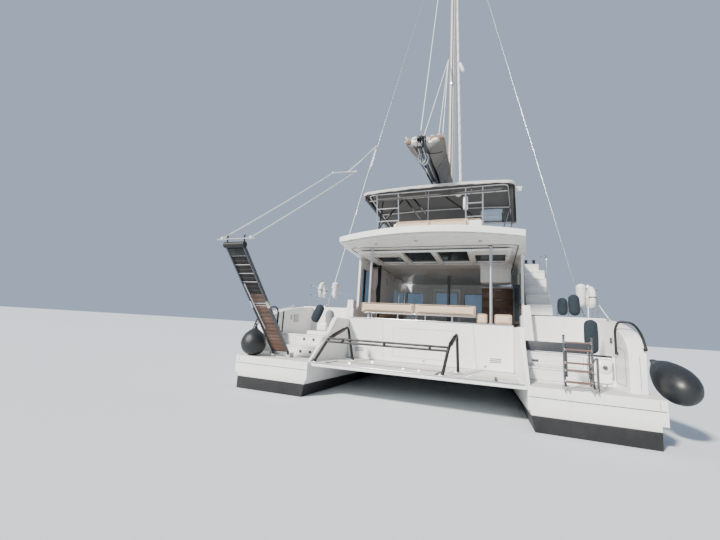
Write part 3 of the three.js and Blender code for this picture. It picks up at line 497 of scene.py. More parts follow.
CURTAIN = Woven("curtain_cloth", (0.86, 0.73, 0.72), "sailcloth", crease=0.3)
WHITE_COVER = Woven("white_cover", (0.80, 0.80, 0.79), "sailcloth", crease=0.6, fade=0.92)
NAVY = Woven("navy_fender_cover", (0.012, 0.022, 0.032), "fender", crease=0.2, sheen=0.05)
FENDER = Vinyl("black_fender", (0.012, 0.0135, 0.015), "fender")
BOTTOM = Vinyl("bottom_paint", (0.016, 0.017, 0.020), "bottom_paint", roughness=0.6)
RAMP_TURN = (math.radians(47.6), 0.0, 0.0)
RAMP_WOOD = Timber("gangway_boards", (0.15, 0.082, 0.056), "wood", turn=RAMP_TURN, bleach=0.2)
# Near-black copy of the gangway boards: painted shade on the upper boards, which lie in shadow.
SHADED_RAMP_WOOD = Timber("gangway_outer_boards", (0.014, 0.010, 0.010), "wood", turn=RAMP_TURN, bleach=0.02)
TREAD_WOOD = Timber("ladder_wood", (0.15, 0.088, 0.066), "wood", pitch=0.7, bleach=0.2)
FLOOR_WOOD = Timber("sole_boards", (0.36, 0.25, 0.17), "wood", pitch=0.14, gloss=0.4)
VENEER = Timber("cabinet_veneer", (0.15, 0.09, 0.06), "cabinet", turn=(1.5708, 0, 0), pitch=0.9, gloss=0.34)
DARK_BOARD = Timber("dark_board", (0.026, 0.030, 0.037), "cabinet", pitch=0.4, gloss=0.5, bleach=0.1)
ROPE = Braid("white_rope", (0.88, 0.87, 0.84), "sailcloth", fleck=(0.62, 0.61, 0.58))
GREY_COVER = Woven("grey_cover", (0.25, 0.255, 0.285), "canvas", crease=0.4)
DARK_ROPE = Braid("blue_rope", (0.10, 0.13, 0.20), "sailcloth", fleck=(0.5, 0.5, 0.5))


# Shape helpers

def aim(start: Place, end: Place) -> Matrix:
    """The matrix that carries a Z-long shape about the origin to the line between two points."""
    a, b = Vector(start), Vector(end)
    return Matrix.Translation((a + b) / 2) @ (b - a).to_track_quat("Z", "Y").to_matrix().to_4x4()


def bent_path(points: Sequence[Place], bend: float, steps: int = 5) -> list[Vector]:
    """Rounds the corners of a path.

    Args:
        points: the corners.
        bend: distance from each corner at which its curve starts.
        steps: points in each curve.

    Returns:
        The rounded path.
    """
    path = [Vector(p) for p in points]
    made = [path[0]]
    for before, corner, after in zip(path, path[1:], path[2:]):
        near, far = before - corner, after - corner
        reach = min(bend, near.length * 0.45, far.length * 0.45)
        a, b = corner + near.normalized() * reach, corner + far.normalized() * reach
        for i in range(steps + 1):
            t = i / steps
            made.append(a.lerp(corner, t).lerp(corner.lerp(b, t), t))
    return made + [path[-1]]


def sagging(start: Place, end: Place, sag: float, steps: int = 12) -> list[Vector]:
    """Points of a line that hangs between two points, lower by sag at its middle."""
    a, b = Vector(start), Vector(end)
    return [a.lerp(b, i / steps) - Vector((0, 0, 4 * sag * (i / steps) * (1 - i / steps))) for i in range(steps + 1)]


def circle(steps: int) -> list[tuple[float, float]]:
    """Cosine and sine of even steps round a circle."""
    return [(math.cos(i * math.tau / steps), math.sin(i * math.tau / steps)) for i in range(steps)]


def upright(x0: float, x1: float, y: float, low: float, high: float) -> list[Place]:
    """Corners of an upright rectangle that faces aft."""
    return [(x0, y, low), (x1, y, low), (x1, y, high), (x0, y, high)]


class Shape:
    """A mesh built up from bmesh operators, in which each part has its own finish.

    Attributes:
        LEVEL: Z of a face's normal from which the face counts as level.
        SHARP: angle in degrees from which a built piece's edges are rounded.
        NODE_MERGE: distance at which the points of a CAD node become one.
        NODE_FLAT: angle in degrees below which a CAD node's faces count as one.
    """

    LEVEL, SHARP = 0.97, 32
    NODE_MERGE, NODE_FLAT = 2e-5, 0.6

    def __init__(self) -> None:
        """Starts with nothing."""
        self.mesh = bmesh.new()
        self.finishes: list[Finish] = []

    def take(self, part: bmesh.types.BMesh, finish: Finish, place: Matrix | None = None, top: Finish | None = None,
             top_above: float = 0.0) -> "Shape":
        """Moves a part into the shape.

        Args:
            part: the part's bmesh, which is freed.
            finish: the part's finish.
            place: where the part goes.
            top: finish of its level upward faces, if they have their own.
            top_above: height from which upward faces have that finish.

        Returns:
            The shape itself.
        """
        if place is not None:
            bmesh.ops.transform(part, matrix=place, verts=part.verts)
        for extra in (finish, top or finish):
            if extra not in self.finishes:
                self.finishes.append(extra)
        part.normal_update()
        for face in part.faces:
            level = top and face.normal.z > self.LEVEL and face.calc_center_median().z > top_above
            face.material_index = self.finishes.index(top if level else finish)
            face.smooth = True
        mesh = bpy.data.meshes.new("part")
        part.to_mesh(mesh)
        part.free()
        self.mesh.from_mesh(mesh)
        bpy.data.meshes.remove(mesh)
        return self

    def box(self, low: Place, high: Place, finish: Finish, round_by: float = 0.006, turn: Matrix | None = None,
            segments: int = 2) -> "Shape":
        """Adds a box with rounded edges.

        Args:
            low: one corner.
            high: the opposite corner.
            finish: its finish.
            round_by: width of the rounding.
            turn: its turn about its middle.
            segments: steps in the rounding.

        Returns:
            The shape itself.
        """
        size = Vector([abs(side) for side in Vector(high) - Vector(low)])
        part = bmesh.new()
        bmesh.ops.create_cube(part, size=1)
        bmesh.ops.scale(part, vec=size, verts=part.verts)
        edge = min(round_by, min(size) * 0.45)
        if edge > 0:
            bmesh.ops.bevel(part, geom=part.edges[:], offset=edge, segments=segments, profile=0.5, affect="EDGES",
                            material=-1, clamp_overlap=True)
        middle = Matrix.Translation((Vector(low) + Vector(high)) / 2)
        return self.take(part, finish, middle @ turn if turn else middle)

    def pad(self, middle: Place, half: Place, finish: Finish, turn: float = 0.0, foot: float = 1.0) -> "Shape":
        """A soft upright pad with round ends.

        Args:
            middle: its middle.
            half: its half sizes.
            finish: its cloth.
            turn: its lean about Y.
            foot: width of its lower end as a share of its upper end.

        Returns:
            The shape itself.
        """
        part = bmesh.new()
        bmesh.ops.create_uvsphere(part, u_segments=36, v_segments=28, radius=1)
        round_end = half[0]
        for spot in part.verts:
            x, y, z = spot.co
            height = z * round_end + (half[2] - round_end) * max(-1.0, min(1.0, z * 2.6))
            width = foot + (1 - foot) * (height / half[2] + 1) / 2
            spot.co = Vector((x * half[0] * width, y * half[1] * width, height))
        return self.take(part, finish, Matrix.Translation(middle) @ Matrix.Rotation(turn, 4, "Y"))

    def rod(self, start: Place, end: Place, radius: float, finish: Finish, end_radius: float | None = None,
            sides: int = 14) -> "Shape":
        """Adds a straight rod or cone.

        Args:
            start: middle of one end.
            end: middle of the other end.
            radius: its radius.
            finish: its finish.
            end_radius: radius at the other end, if it tapers.
            sides: number of its sides.

        Returns:
            The shape itself.
        """
        part = bmesh.new()
        far = radius if end_radius is None else end_radius
        bmesh.ops.create_cone(part, cap_ends=True, cap_tris=False, segments=sides, radius1=radius, radius2=far,
                              depth=(Vector(end) - Vector(start)).length)
        return self.take(part, finish, aim(start, end))

    def ball(self, middle: Place, size: Place | float, finish: Finish, turn: Matrix | None = None,
             segments: int = 16) -> "Shape":
        """Adds a ball or an egg.

        Args:
            middle: its middle.
            size: its radius or its three half sizes.
            finish: its finish.
            turn: its turn about its middle.
            segments: number of its sides.

        Returns:
            The shape itself.
        """
        part = bmesh.new()
        bmesh.ops.create_uvsphere(part, u_segments=segments, v_segments=max(6, segments // 2), radius=1)
        half = (size, size, size) if isinstance(size, (int, float)) else size
        bmesh.ops.scale(part, vec=half, verts=part.verts)
        place = Matrix.Translation(middle)
        return self.take(part, finish, place @ turn if turn else place)

    def tube(self, points: Sequence[Place], radius: float, finish: Finish, bend: float = 0.0, closed: bool = False,
             sides: int = 3, squash: float = 1.0) -> "Shape":
        """A tube along a path.

        Args:
            points: corners of the path.
            radius: radius of the tube.
            finish: its finish.
            bend: how far from a corner its curve starts, or 0 for sharp corners.
            closed: True to join the end to the start.
            sides: curve steps in each quarter of the section.
            squash: height of the section as a share of its width.

        Returns:
            The shape itself.
        """
        path = bent_path(points, bend) if bend else [Vector(p) for p in points]
        curve = bpy.data.curves.new("path", "CURVE")
        curve.dimensions = "3D"
        curve.bevel_depth = radius
        curve.bevel_resolution = sides - 1
        curve.use_fill_caps = not closed
        line = curve.splines.new("POLY")
        line.points.add(len(path) - 1)
        for spot, place in zip(line.points, path):
            spot.co = (*place, 1)
        line.use_cyclic_u = closed
        holder = bpy.data.objects.new("path", curve)
        mesh = bpy.data.meshes.new_from_object(holder)
        part = bmesh.new()
        part.from_mesh(mesh)
        bpy.data.objects.remove(holder)
        bpy.data.curves.remove(curve)
        bpy.data.meshes.remove(mesh)
        if squash != 1.0:
            middle = sum(path, Vector()) / len(path)
            bmesh.ops.transform(part, matrix=Matrix.Translation(middle) @ Matrix.Diagonal((1, 1, squash, 1))
                                @ Matrix.Translation(-middle), verts=part.verts)
        bmesh.ops.remove_doubles(part, verts=part.verts, dist=MERGE)
        bmesh.ops.recalc_face_normals(part, faces=part.faces)
        return self.take(part, finish)

    def turned(self, profile: Sequence[tuple[float, float]], start: Place, towards: Place, finish: Finish,
               steps: int = 28) -> "Shape":
        """Adds a turned part.

        Args:
            profile: rows of radius and distance along the axis.
            start: where the axis starts.
            towards: a point that the axis runs towards.
            finish: its finish.
            steps: faces round the axis.

        Returns:
            The shape itself.
        """
        part = bmesh.new()
        spots = [part.verts.new((max(radius, 0.0), 0, along)) for radius, along in profile]
        edges = [part.edges.new(pair) for pair in zip(spots, spots[1:])]
        bmesh.ops.spin(part, geom=spots + edges, cent=(0, 0, 0), axis=(0, 0, 1), angle=math.tau, steps=steps,
                       use_merge=True)
        bmesh.ops.remove_doubles(part, verts=part.verts, dist=MERGE)
        bmesh.ops.recalc_face_normals(part, faces=part.faces)
        turn = (Vector(towards) - Vector(start)).to_track_quat("Z", "Y").to_matrix().to_4x4()
        return self.take(part, finish, Matrix.Translation(start) @ turn)

    def flange(self, foot: Place, sizes: Sequence[float], finish: Finish, towards: Place | None = None) -> "Shape":
        """Adds a round foot or cap with a sloping shoulder.

        Args:
            foot: middle of its base.
            sizes: its radius, the height of its rim, the radius of its top and its whole height.
            finish: its finish.
            towards: a point on its axis, or None for straight up.

        Returns:
            The shape itself.
        """
        wide, rim, neck, high = sizes
        profile = [(0, 0), (wide, 0), (wide, rim), (neck, high), (0, high)]
        return self.turned(profile, foot, towards or Vector(foot) + UP, finish)

    def outline(self, corners: Sequence[Place], radius: float, finish: Finish, bend: float = 0.0,
                all_round: bool = False, sides: int = 3) -> "Shape":
        """Adds a thin closed line, such as a seam or a seal.

        Args:
            corners: its corners.
            radius: radius of its section.
            finish: its finish.
            bend: how far from a corner its curve starts.
            all_round: True to curve the first corner too.
            sides: curve steps in each quarter of the section.

        Returns:
            The shape itself.
        """
        path = [Vector(corner) for corner in corners]
        middle = (path[0] + path[1]) / 2
        path = [middle, *path[1:], path[0], middle] if all_round else [*path, path[0]]
        return self.tube(path, radius, finish, bend=bend, sides=sides)

    def plate(self, outline: Sequence[Place], thick: Place, finish: Finish) -> "Shape":
        """Adds a flat plate with rounded edges.

        Args:
            outline: corners of one face.
            thick: way and distance to the other face.
            finish: its finish.

        Returns:
            The shape itself.
        """
        part = bmesh.new()
        face = part.faces.new([part.verts.new(p) for p in outline])
        out = bmesh.ops.extrude_face_region(part, geom=[face])
        bmesh.ops.translate(part, vec=thick, verts=[v for v in out["geom"] if isinstance(v, bmesh.types.BMVert)])
        bmesh.ops.recalc_face_normals(part, faces=part.faces)
        sharp = [e for e in part.edges if len(e.link_faces) == 2 and e.calc_face_angle(0) > 0.5]
        bmesh.ops.bevel(part, geom=sharp, offset=0.004, segments=2, profile=0.5, affect="EDGES", material=-1,
                        clamp_overlap=True)
        return self.take(part, finish)

    def node(self, name: str, finish: Finish, top: Finish | None = None, top_above: float = 0.0) -> "Shape":
        """Adds a merged copy of a CAD node.

        Args:
            name: the node.
            finish: its finish.
            top: finish of its level upward faces, if they have their own.
            top_above: height from which upward faces have that finish.

        Returns:
            The shape itself.
        """
        part = bmesh.new()
        part.from_mesh(frame["nodes"][name].data)
        bmesh.ops.remove_doubles(part, verts=part.verts, dist=self.NODE_MERGE)
        flat = math.radians(self.NODE_FLAT)
        bmesh.ops.dissolve_limit(part, angle_limit=flat, verts=part.verts, edges=part.edges)
        return self.take(part, finish, top=top, top_above=top_above)

    def moved(self, place: Matrix) -> "Shape":
        """Carries everything made so far to another frame."""
        bmesh.ops.transform(self.mesh, matrix=place, verts=self.mesh.verts)
        return self

    def build(self, name: str, body: str, *nodes: str, angle: float = 38, edge: float = 0.0,
              across: tuple[str, Place, Place] | None = None) -> bpy.types.Object:
        """Makes the finished piece.

        Args:
            name: name of the piece.
            body: the body it rides on.
            nodes: CAD nodes that it stands for.
            angle: edges sharper than this many degrees stay sharp.
            edge: width of the rounding on sharp edges, or 0.
            across: for a line that crosses a joint, the other body and the two places between which it would turn
                over to that body; only whether it is given is read, and then the piece stays fixed in world space on
                no body.

        Returns:
            The piece.
        """
        mesh = bpy.data.meshes.new(name)
        self.mesh.to_mesh(mesh)
        self.mesh.free()
        for finish in self.finishes:
            mesh.materials.append(finish.material())
        mesh.set_sharp_from_angle(angle=math.radians(angle))
        piece = bpy.data.objects.new(name, mesh)
        bpy.context.scene.collection.objects.link(piece)
        if edge:
            bevel = piece.modifiers.new("edges", "BEVEL")
            bevel.width, bevel.segments, bevel.limit_method = edge, 2, "ANGLE"
            bevel.angle_limit = math.radians(self.SHARP)
        if across:
            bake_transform(piece)
        else:
            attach(piece, body)
        if nodes:
            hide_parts(*nodes)
        LOG.info("%s: %d faces on %s", name, len(mesh.polygons), body)
        return piece


def smooth_copy(node: str, name: str, finish: Finish, edge: float, body: str = BOAT) -> None:
    """Makes the piece that stands for one CAD node, with rounded edges."""
    Shape().node(node, finish).build(name, body, node, edge=edge)


class Ground:
    """Finds places on the CAD's surfaces.

    Attributes:
        above: a height above every deck.
    """

    above = 2.6

    def __init__(self, *nodes: str) -> None:
        """Reads the nodes.

        Args:
            nodes: names of CAD nodes.
        """
        self.trees = []
        for name in nodes:
            mesh = frame["nodes"][name].data
            faces = [p.vertices for p in mesh.polygons]
            self.trees.append(BVHTree.FromPolygons([v.co for v in mesh.vertices], faces))

    def hit(self, start: Place, along: Place) -> Vector | None:
        """Follows a ray to the first surface.

        Args:
            start: where the ray starts.
            along: its direction.

        Returns:
            The place that it meets, or None.
        """
        found = [tree.ray_cast(Vector(start), Vector(along)) for tree in self.trees]
        near = [f for f in found if f[0] is not None]
        return min(near, key=lambda f: f[3])[0] if near else None

    def under(self, x: float, y: float) -> Vector:
        """The place on deck at a point in plan."""
        return self.hit((x, y, self.above), -UP) or Vector((x, y, 0))


def puffed(piece: bpy.types.Object, voxel: float, cap: float, pressure: float = 4.0, frames: int = 14) -> None:
    """Blows a padded piece up a little with a cloth simulation, and applies it.

    Args:
        piece: the piece, whose mesh is replaced.
        voxel: size of its remeshed grid.
        cap: the furthest that a point may move.
        pressure: pressure inside it.
        frames: length of the simulation.
    """
    remesh = piece.modifiers.new("grid", "REMESH")
    remesh.mode, remesh.voxel_size, remesh.use_smooth_shade = "VOXEL", voxel, True
    settle(piece)
    rest = np.array([v.co for v in piece.data.vertices], float)
    cloth = piece.modifiers.new("puff", "CLOTH")
    cloth.settings.use_pressure = True
    cloth.settings.uniform_pressure_force = pressure
    cloth.settings.effector_weights.gravity = 0.0
    cloth.settings.quality = 4
    for frame_number in range(1, frames + 1):
        bpy.context.scene.frame_set(frame_number)
    settle(piece)
    bpy.context.scene.frame_set(1)
    now = np.array([v.co for v in piece.data.vertices], float)
    way = now - rest
    length = np.linalg.norm(way, axis=1, keepdims=True)
    now = rest + way * np.minimum(1.0, cap / np.maximum(length, 1e-9))
    piece.data.vertices.foreach_set("co", now.astype(np.float32).ravel())
    piece.data.update()


def settle(piece: bpy.types.Object) -> None:
    """Applies a piece's modifiers to its mesh.

    Args:
        piece: the piece, whose mesh is replaced.
    """
    bpy.context.view_layer.update()
    seen = piece.evaluated_get(bpy.context.evaluated_depsgraph_get())
    mesh = bpy.data.meshes.new_from_object(seen)
    piece.modifiers.clear()
    old, piece.data = piece.data, mesh
    mesh.name = piece.name
    bpy.data.meshes.remove(old)


@dataclass
class Cushion:
    """A stuffed cushion with a piped seam all round.

    Attributes:
        name: name of the piece.
        low: lowest corner.
        high: highest corner.
        finish: its cloth.
        fill: how tight it is, from 0 to 1; not used.
    """

    name: str
    low: Place
    high: Place
    finish: Finish = TAN
    fill: float = 0.75

    def build(self, body: str = BOAT, *nodes: str) -> bpy.types.Object:
        """Makes the cushion and its piping.

        Args:
            body: the body it rides on.
            nodes: CAD nodes that it stands for.

        Returns:
            The cushion.
        """
        low, high = Vector(self.low), Vector(self.high)
        size = high - low
        shrink = min(0.014, min(size) * 0.12)
        inset = Vector((shrink, shrink, shrink))
        shape = Shape().box(low + inset, high - inset, self.finish, round_by=min(size) * 0.28, segments=4)
        pad = shape.build(self.name, body, *nodes, angle=180)
        puffed(pad, max(0.011, max(size) / 170), 0.016)
        pad.data.materials.clear()
        pad.data.materials.append(self.finish.material())
        pad.data.shade_smooth()
        thin = min(range(3), key=lambda i: size[i])
        first, second = (i for i in range(3) if i != thin)
        piping = Shape()
        for face in (0.14, 0.86):
            corners = []
            for a, b in ((0, 0), (1, 0), (1, 1), (0, 1)):
                spot = low.copy()
                spot[first] += size[first] * a + shrink * (0.5 - a)
                spot[second] += size[second] * b + shrink * (0.5 - b)
                spot[thin] += size[thin] * face
                corners.append(spot)
            piping.outline(corners, 0.0055, self.finish, min(size) * 0.3, all_round=True, sides=2)
        piping.build(self.name + "_piping", body)
        return pad


# Sub-assemblies

class Side(Enum):
    """A side of the boat, whose value is the sign of its X."""

    STARBOARD = 1
    PORT = -1


SIDES = tuple((side.value, side.name.lower()) for side in Side)


def planks(shape: Shape, low: Place, high: Place, pitch: float = 0.062, gap: float = 0.007) -> None:
    """Lays thin pale boards along X over a level area.

    Args:
        shape: the shape they go into.
        low: lowest corner of the area.
        high: highest corner, whose height is the boards' top.
        pitch: distance from board to board.
        gap: width of the dark seam between two boards.
    """
    count = max(1, round((high[1] - low[1]) / pitch))
    step = (high[1] - low[1]) / count
    shape.box(low, (high[0], high[1], high[2] - 0.0025), SEAM, round_by=0)
    for i in range(count):
        y = low[1] + i * step
        shape.box((low[0], y + gap / 2, low[2]), (high[0], y + step - gap / 2, high[2]), PLANK, round_by=0.001,
                  segments=1)


def cleat(shape: Shape, middle: Place, along: Place, length: float = 0.26) -> None:
    """Adds a steel horn cleat.

    Args:
        shape: the shape it goes into.
        middle: place of its base on deck.
        along: direction of its horns.
        length: length over the horns.
    """
    base, way = Vector(middle), Vector(along).normalized()
    for end in (-1, 1):
        foot = base + way * end * length * 0.16
        shape.rod(foot - UP * 0.004, foot + UP * 0.04, 0.013, STEEL, 0.010)
    horns = [base + way * length * s + UP * h for s, h in ((-0.5, 0.062), (-0.2, 0.045), (0.2, 0.045), (0.5, 0.062))]
    shape.tube(horns, 0.011, STEEL, bend=0.05)
    plate = Vector((0.035, 0.035, 0.004))
    shape.box(base - plate - way * 0.03, base + plate + way * 0.03, STEEL, 0.003)


def patch(shape: Shape, ground: Ground, span: Sequence[float], side: int, finish: Finish, lift: float = 0.003,
          power: float = 5.0) -> None:
    """Lays a thin panel with round ends on a hull's outer side.

    Args:
        shape: the shape it goes into.
        ground: the hull it lies on.
        span: aft end, fore end, low edge and high edge.
        side: 1 for starboard, -1 for port.
        finish: its finish.
        lift: how far it stands proud.
        power: how square its ends are.
    """
    aft, fore, low, high = span
    part = bmesh.new()
    bmesh.ops.create_grid(part, x_segments=28, y_segments=5, size=1)
    for spot in part.verts:
        u, v = spot.co.x, spot.co.y
        z = (low + high) / 2 + (high - low) / 2 * v * (1 - abs(u) ** power) ** (1 / power)
        y = (aft + fore) / 2 + (fore - aft) / 2 * u
        found = ground.hit((side * 6, y, z), (-side, 0, 0))
        spot.co = Vector((found.x + side * lift if found else side * 3.6, y, z))
    bmesh.ops.remove_doubles(part, verts=part.verts, dist=MERGE)
    bmesh.ops.solidify(part, geom=part.faces[:], thickness=0.012)
    bmesh.ops.recalc_face_normals(part, faces=part.faces)
    shape.take(part, finish)


@dataclass
class Hulls:
    """Both hulls with their bottom paint, steps, windows, seams and deck pads."""

    edge: float = 0.013
    seam_height: float = 0.515
    window: tuple[float, ...] = (3.5, 8.4, 1.13, 1.47)
    transom: tuple[float, float] = (1.975, 3.685)
    platform: float = 0.67

    def build(self) -> None:
        """Makes all the pieces of both hulls."""
        for side, word in SIDES:
            shell = Shape().node(f"{word}_hull", HULL, DECK, 0.5)
            shell.build(f"{word}_hull_shell", BOAT, f"{word}_hull", edge=self.edge)
            self.side_fittings(side, word)
            self.steps(side, word)

    def side_fittings(self, side: int, word: str) -> None:
        """Windows, rubbing strip and transom seam of one hull.

        Args:
            side: 1 for starboard, -1 for port.
            word: the side's name.
        """
        ground = Ground(f"{word}_hull")
        fittings = Shape()
        patch(fittings, ground, self.window, side, DARK_GLASS, 0.004, 4.0)
        patch(fittings, ground, (9.2, 11.1, 1.28, 1.47), side, DARK_GLASS, 0.004, 3.0)
        for y in (2.1, 2.35):
            patch(fittings, ground, (y, y + 0.07, 0.42, 0.49), side, STEEL, 0.006, 2.0)
        rail = []
        for i in range(41):
            y = 1.6 + i * 0.29
            found = ground.hit((side * 6, y, 1.72), (-side, 0, 0))
            if found:
                rail.append((found.x + side * 0.004, y, 1.72))
        fittings.tube(rail, 0.016, GREY_MOULDING)
        inner, outer = self.transom
        seam = self.seam_height
        fittings.tube([(side * inner, -0.001, seam), (side * outer, -0.001, seam)], 0.005, SEAM)
        fittings.tube([(side * (outer + 0.016), 0.01, seam), (side * (outer + 0.016), 0.69, seam)], 0.004, SEAM)
        fittings.tube([(side * 3.612, -0.001, 0.655), (side * 3.612, -0.001, 0.53)], 0.0025, SEAM)
        fittings.build(f"{word}_hull_fittings", BOAT)

    def steps(self, side: int, word: str) -> None:
        """Platform boards, pads on the stern steps and seams in the risers of one hull.

        Args:
            side: 1 for starboard, -1 for port.
            word: the side's name.
        """
        pads = Shape()
        for inner, outer, aft, fore in ((2.0, 3.64, 0.03, 0.43), (2.03, 3.38, 0.46, 0.75), (3.02, 3.38, 0.78, 1.12)):
            planks(pads, (side * inner, aft, self.platform - 0.002), (side * outer, fore, self.platform + 0.004))
        for inner, outer, aft, fore, top in ((3.02, 3.38, 1.22, 2.62, 1.16), (2.04, 2.96, 0.80, 1.05, 0.915),
                                             (2.04, 2.96, 1.11, 1.66, 1.16), (2.34, 2.96, 1.74, 2.4, 1.25)):
            pads.box((side * inner, aft, top - 0.002), (side * outer, fore, top + 0.004), DECK_GREY, 0.02, segments=3)
        for y, low, high in ((0.779, 0.70, 0.885), (1.079, 0.94, 1.13)):
            pads.outline(upright(side * 2.06, side * 2.94, y, low, high), 0.0025, SEAM, 0.03)
        pads.outline(upright(side * 3.04, side * 3.38, 1.149, 0.71, 1.12), 0.003, SEAM, 0.06)
        pads.tube([(side * 3.56, 0.459, 0.7), (side * 3.56, 0.459, 1.22)], 0.003, SEAM)
        panel = [(side * 3.419, y, z) for y, z in ((0.62, 0.75), (1.1, 0.75), (1.1, 1.36), (0.62, 1.3))]
        pads.outline(panel, 0.003, SEAM, 0.05)
        ground = Ground(f"{word}_hull")
        for y in (2.95, 4.6, 6.3, 8.0):
            deck = ground.under(side * 3.0, y).z
            pads.box((side * 2.66, y - 0.02, deck - 0.004), (side * 3.34, y + 1.35, deck + 0.006), DECK_GREY, 0.05,
                     segments=3)
        pads.build(f"{word}_step_pads", BOAT)


@dataclass
class Quarters:
    """Fittings of the two stern quarters: rails, cleats, shower, board, ladder stay and straps."""

    grab_radius: float = 0.019

    def build(self) -> None:
        """Makes the pieces."""
        for side, word in SIDES:
            self.grab_rail(side, word)
        self.starboard_gear()
        self.port_gear()

    def grab_rail(self, side: int, word: str) -> None:
        """The black rail over one coaming, with its two feet.

        Args:
            side: 1 for starboard, -1 for port.
            word: the side's name.
        """
        x, inner = side * 3.64, side * 3.395
        path = [(inner, 0.95, 1.22), (inner, 0.95, 1.64), (side * 3.44, 0.92, 1.78), (side * 3.60, 0.85, 1.76),
                (x, 0.76, 1.69), (x, 0.56, 1.56), (x, 0.42, 1.33)]
        rail = Shape().tube(path, self.grab_radius, BLACK, bend=0.10, sides=4)
        rail.rod((inner, 0.95, 1.24), (side * 3.424, 0.95, 1.24), 0.017, BLACK)
        rail.rod((x, 0.42, 1.342), (x, 0.464, 1.342), 0.017, BLACK)
        for spot in ((side * 3.416, 0.95, 1.24), (x, 0.455, 1.342)):
            rail.ball(spot, (0.03, 0.03, 0.03), BLACK)
        rail.build(f"{word}_coaming_rail", BOAT, f"{word}_grab_rail")

    def starboard_gear(self) -> None:
        """Board, shower, cleat, ladder stay and fittings on the starboard quarter."""
        gear = Shape()
        gear.box((2.02, 1.12, 1.185), (3.02, 1.155, 1.362), DARK_BOARD, 0.008)
        for x in (2.2, 2.9):
            gear.box((x - 0.02, 1.12, 1.158), (x + 0.02, 1.2, 1.2), STEEL, 0.004)
        shower, astern = [(0, 0), (0.10, 0.002), (0.11, 0.012), (0.10, 0.02), (0, 0.024)], (3.27, 0, 0.98)
        gear.turned(shower, (3.27, 1.152, 0.98), astern, WHITE)
        gear.flange((3.27, 1.135, 0.98), (0.035, 0.03, 0.02, 0.045), SEAM, astern)
        gear.box((3.404, 1.22, 1.40), (3.424, 1.30, 1.50), SEAM, 0.008)
        handle = [(3.37, y, z) for y, z in ((1.155, 1.10), (1.09, 1.10), (1.09, 0.82), (1.155, 0.82))]
        gear.tube(handle, 0.011, STEEL, bend=0.03)
        gear.box((3.03, 1.14, 1.152), (3.39, 1.2, 1.182), BLACK, 0.012)
        cleat(gear, (3.2, 0.95, 0.674), (1, 0, 0))
        cleat(gear, (3.56, 1.95, 1.818), (0, 1, 0.05))
        gear.tube([(2.915, 0.07, 0.68), (2.915, 0.07, 1.17)], 0.017, DARK_STEEL_AND_PAINTED_REFLECTION)
        quarter = circle(40)[:11]
        gear.tube([(2.915, 0.07 + 0.45 * s, 0.70 + 0.46 * c) for c, s in quarter], 0.014, DARK_STEEL_AND_PAINTED_REFLECTION)
        gear.tube([(2.915, 0.07, 0.69), (2.915, 0.52, 0.69)], 0.016, DARK_STEEL_AND_PAINTED_REFLECTION)
        gear.tube([(2.915, 0.07, 0.93), (2.78, 0.07, 0.93)], 0.010, STEEL)
        for y in (0.07, 0.52):
            gear.box((2.875, y - 0.035, 0.672), (2.955, y + 0.035, 0.684), STEEL, 0.004)
        gear.box((2.13, 1.065, 0.99), (2.23, 1.084, 1.03), SEAM, 0.008)
        gear.build("starboard_quarter_gear", BOAT)

    def port_gear(self) -> None:
        """Grey panels that paint the shade on the port coaming's inner face and in its recesses, strap, cleats and
        outlets on the port quarter.
        """
        gear = Shape()
        # Grey panel: painted shade on the inner face of the port coaming.
        gear.box((-3.426, 0.56, 0.76), (-3.404, 1.1, 1.33), GREY_MOULDING, 0.02)
        # Small grey patches: painted shade in the coaming's moulded recesses.
        for low, high in (((-3.426, 1.55, 1.5), (-3.41, 1.62, 1.62)), ((-3.426, 1.7, 1.44), (-3.41, 1.95, 1.64))):
            gear.box(low, high, GREY_MOULDING, 0.006)
        gear.box((-3.424, 1.185, 1.17), (-3.402, 1.225, 1.69), BLACK, 0.008)
        outlet = [(0, 0), (0.032, 0), (0.034, 0.008), (0.026, 0.016), (0, 0.018)]
        for x, y, z in ((-2.35, 0.772, 0.80), (-2.45, 1.072, 1.06), (-2.7, 1.072, 1.06), (-2.6, 0.772, 0.8)):
            gear.turned(outlet, (x, y + 0.008, z), (x, y - 1, z), SEAM)
        cleat(gear, (-3.2, 0.95, 0.674), (1, 0, 0))
        cleat(gear, (-3.56, 1.95, 1.818), (0, 1, 0.05))
        gear.box((-2.78, 1.78, 1.26), (-2.5, 2.1, 1.47), WHITE, 0.05, segments=4)
        vent = [(0, 0), (0.07, 0.004), (0.08, 0.05), (0.05, 0.1), (0, 0.11)]
        gear.turned(vent, (-2.42, 1.62, 1.163), (-2.42, 1.62, 3), WHITE)
        gear.build("port_quarter_gear", BOAT)


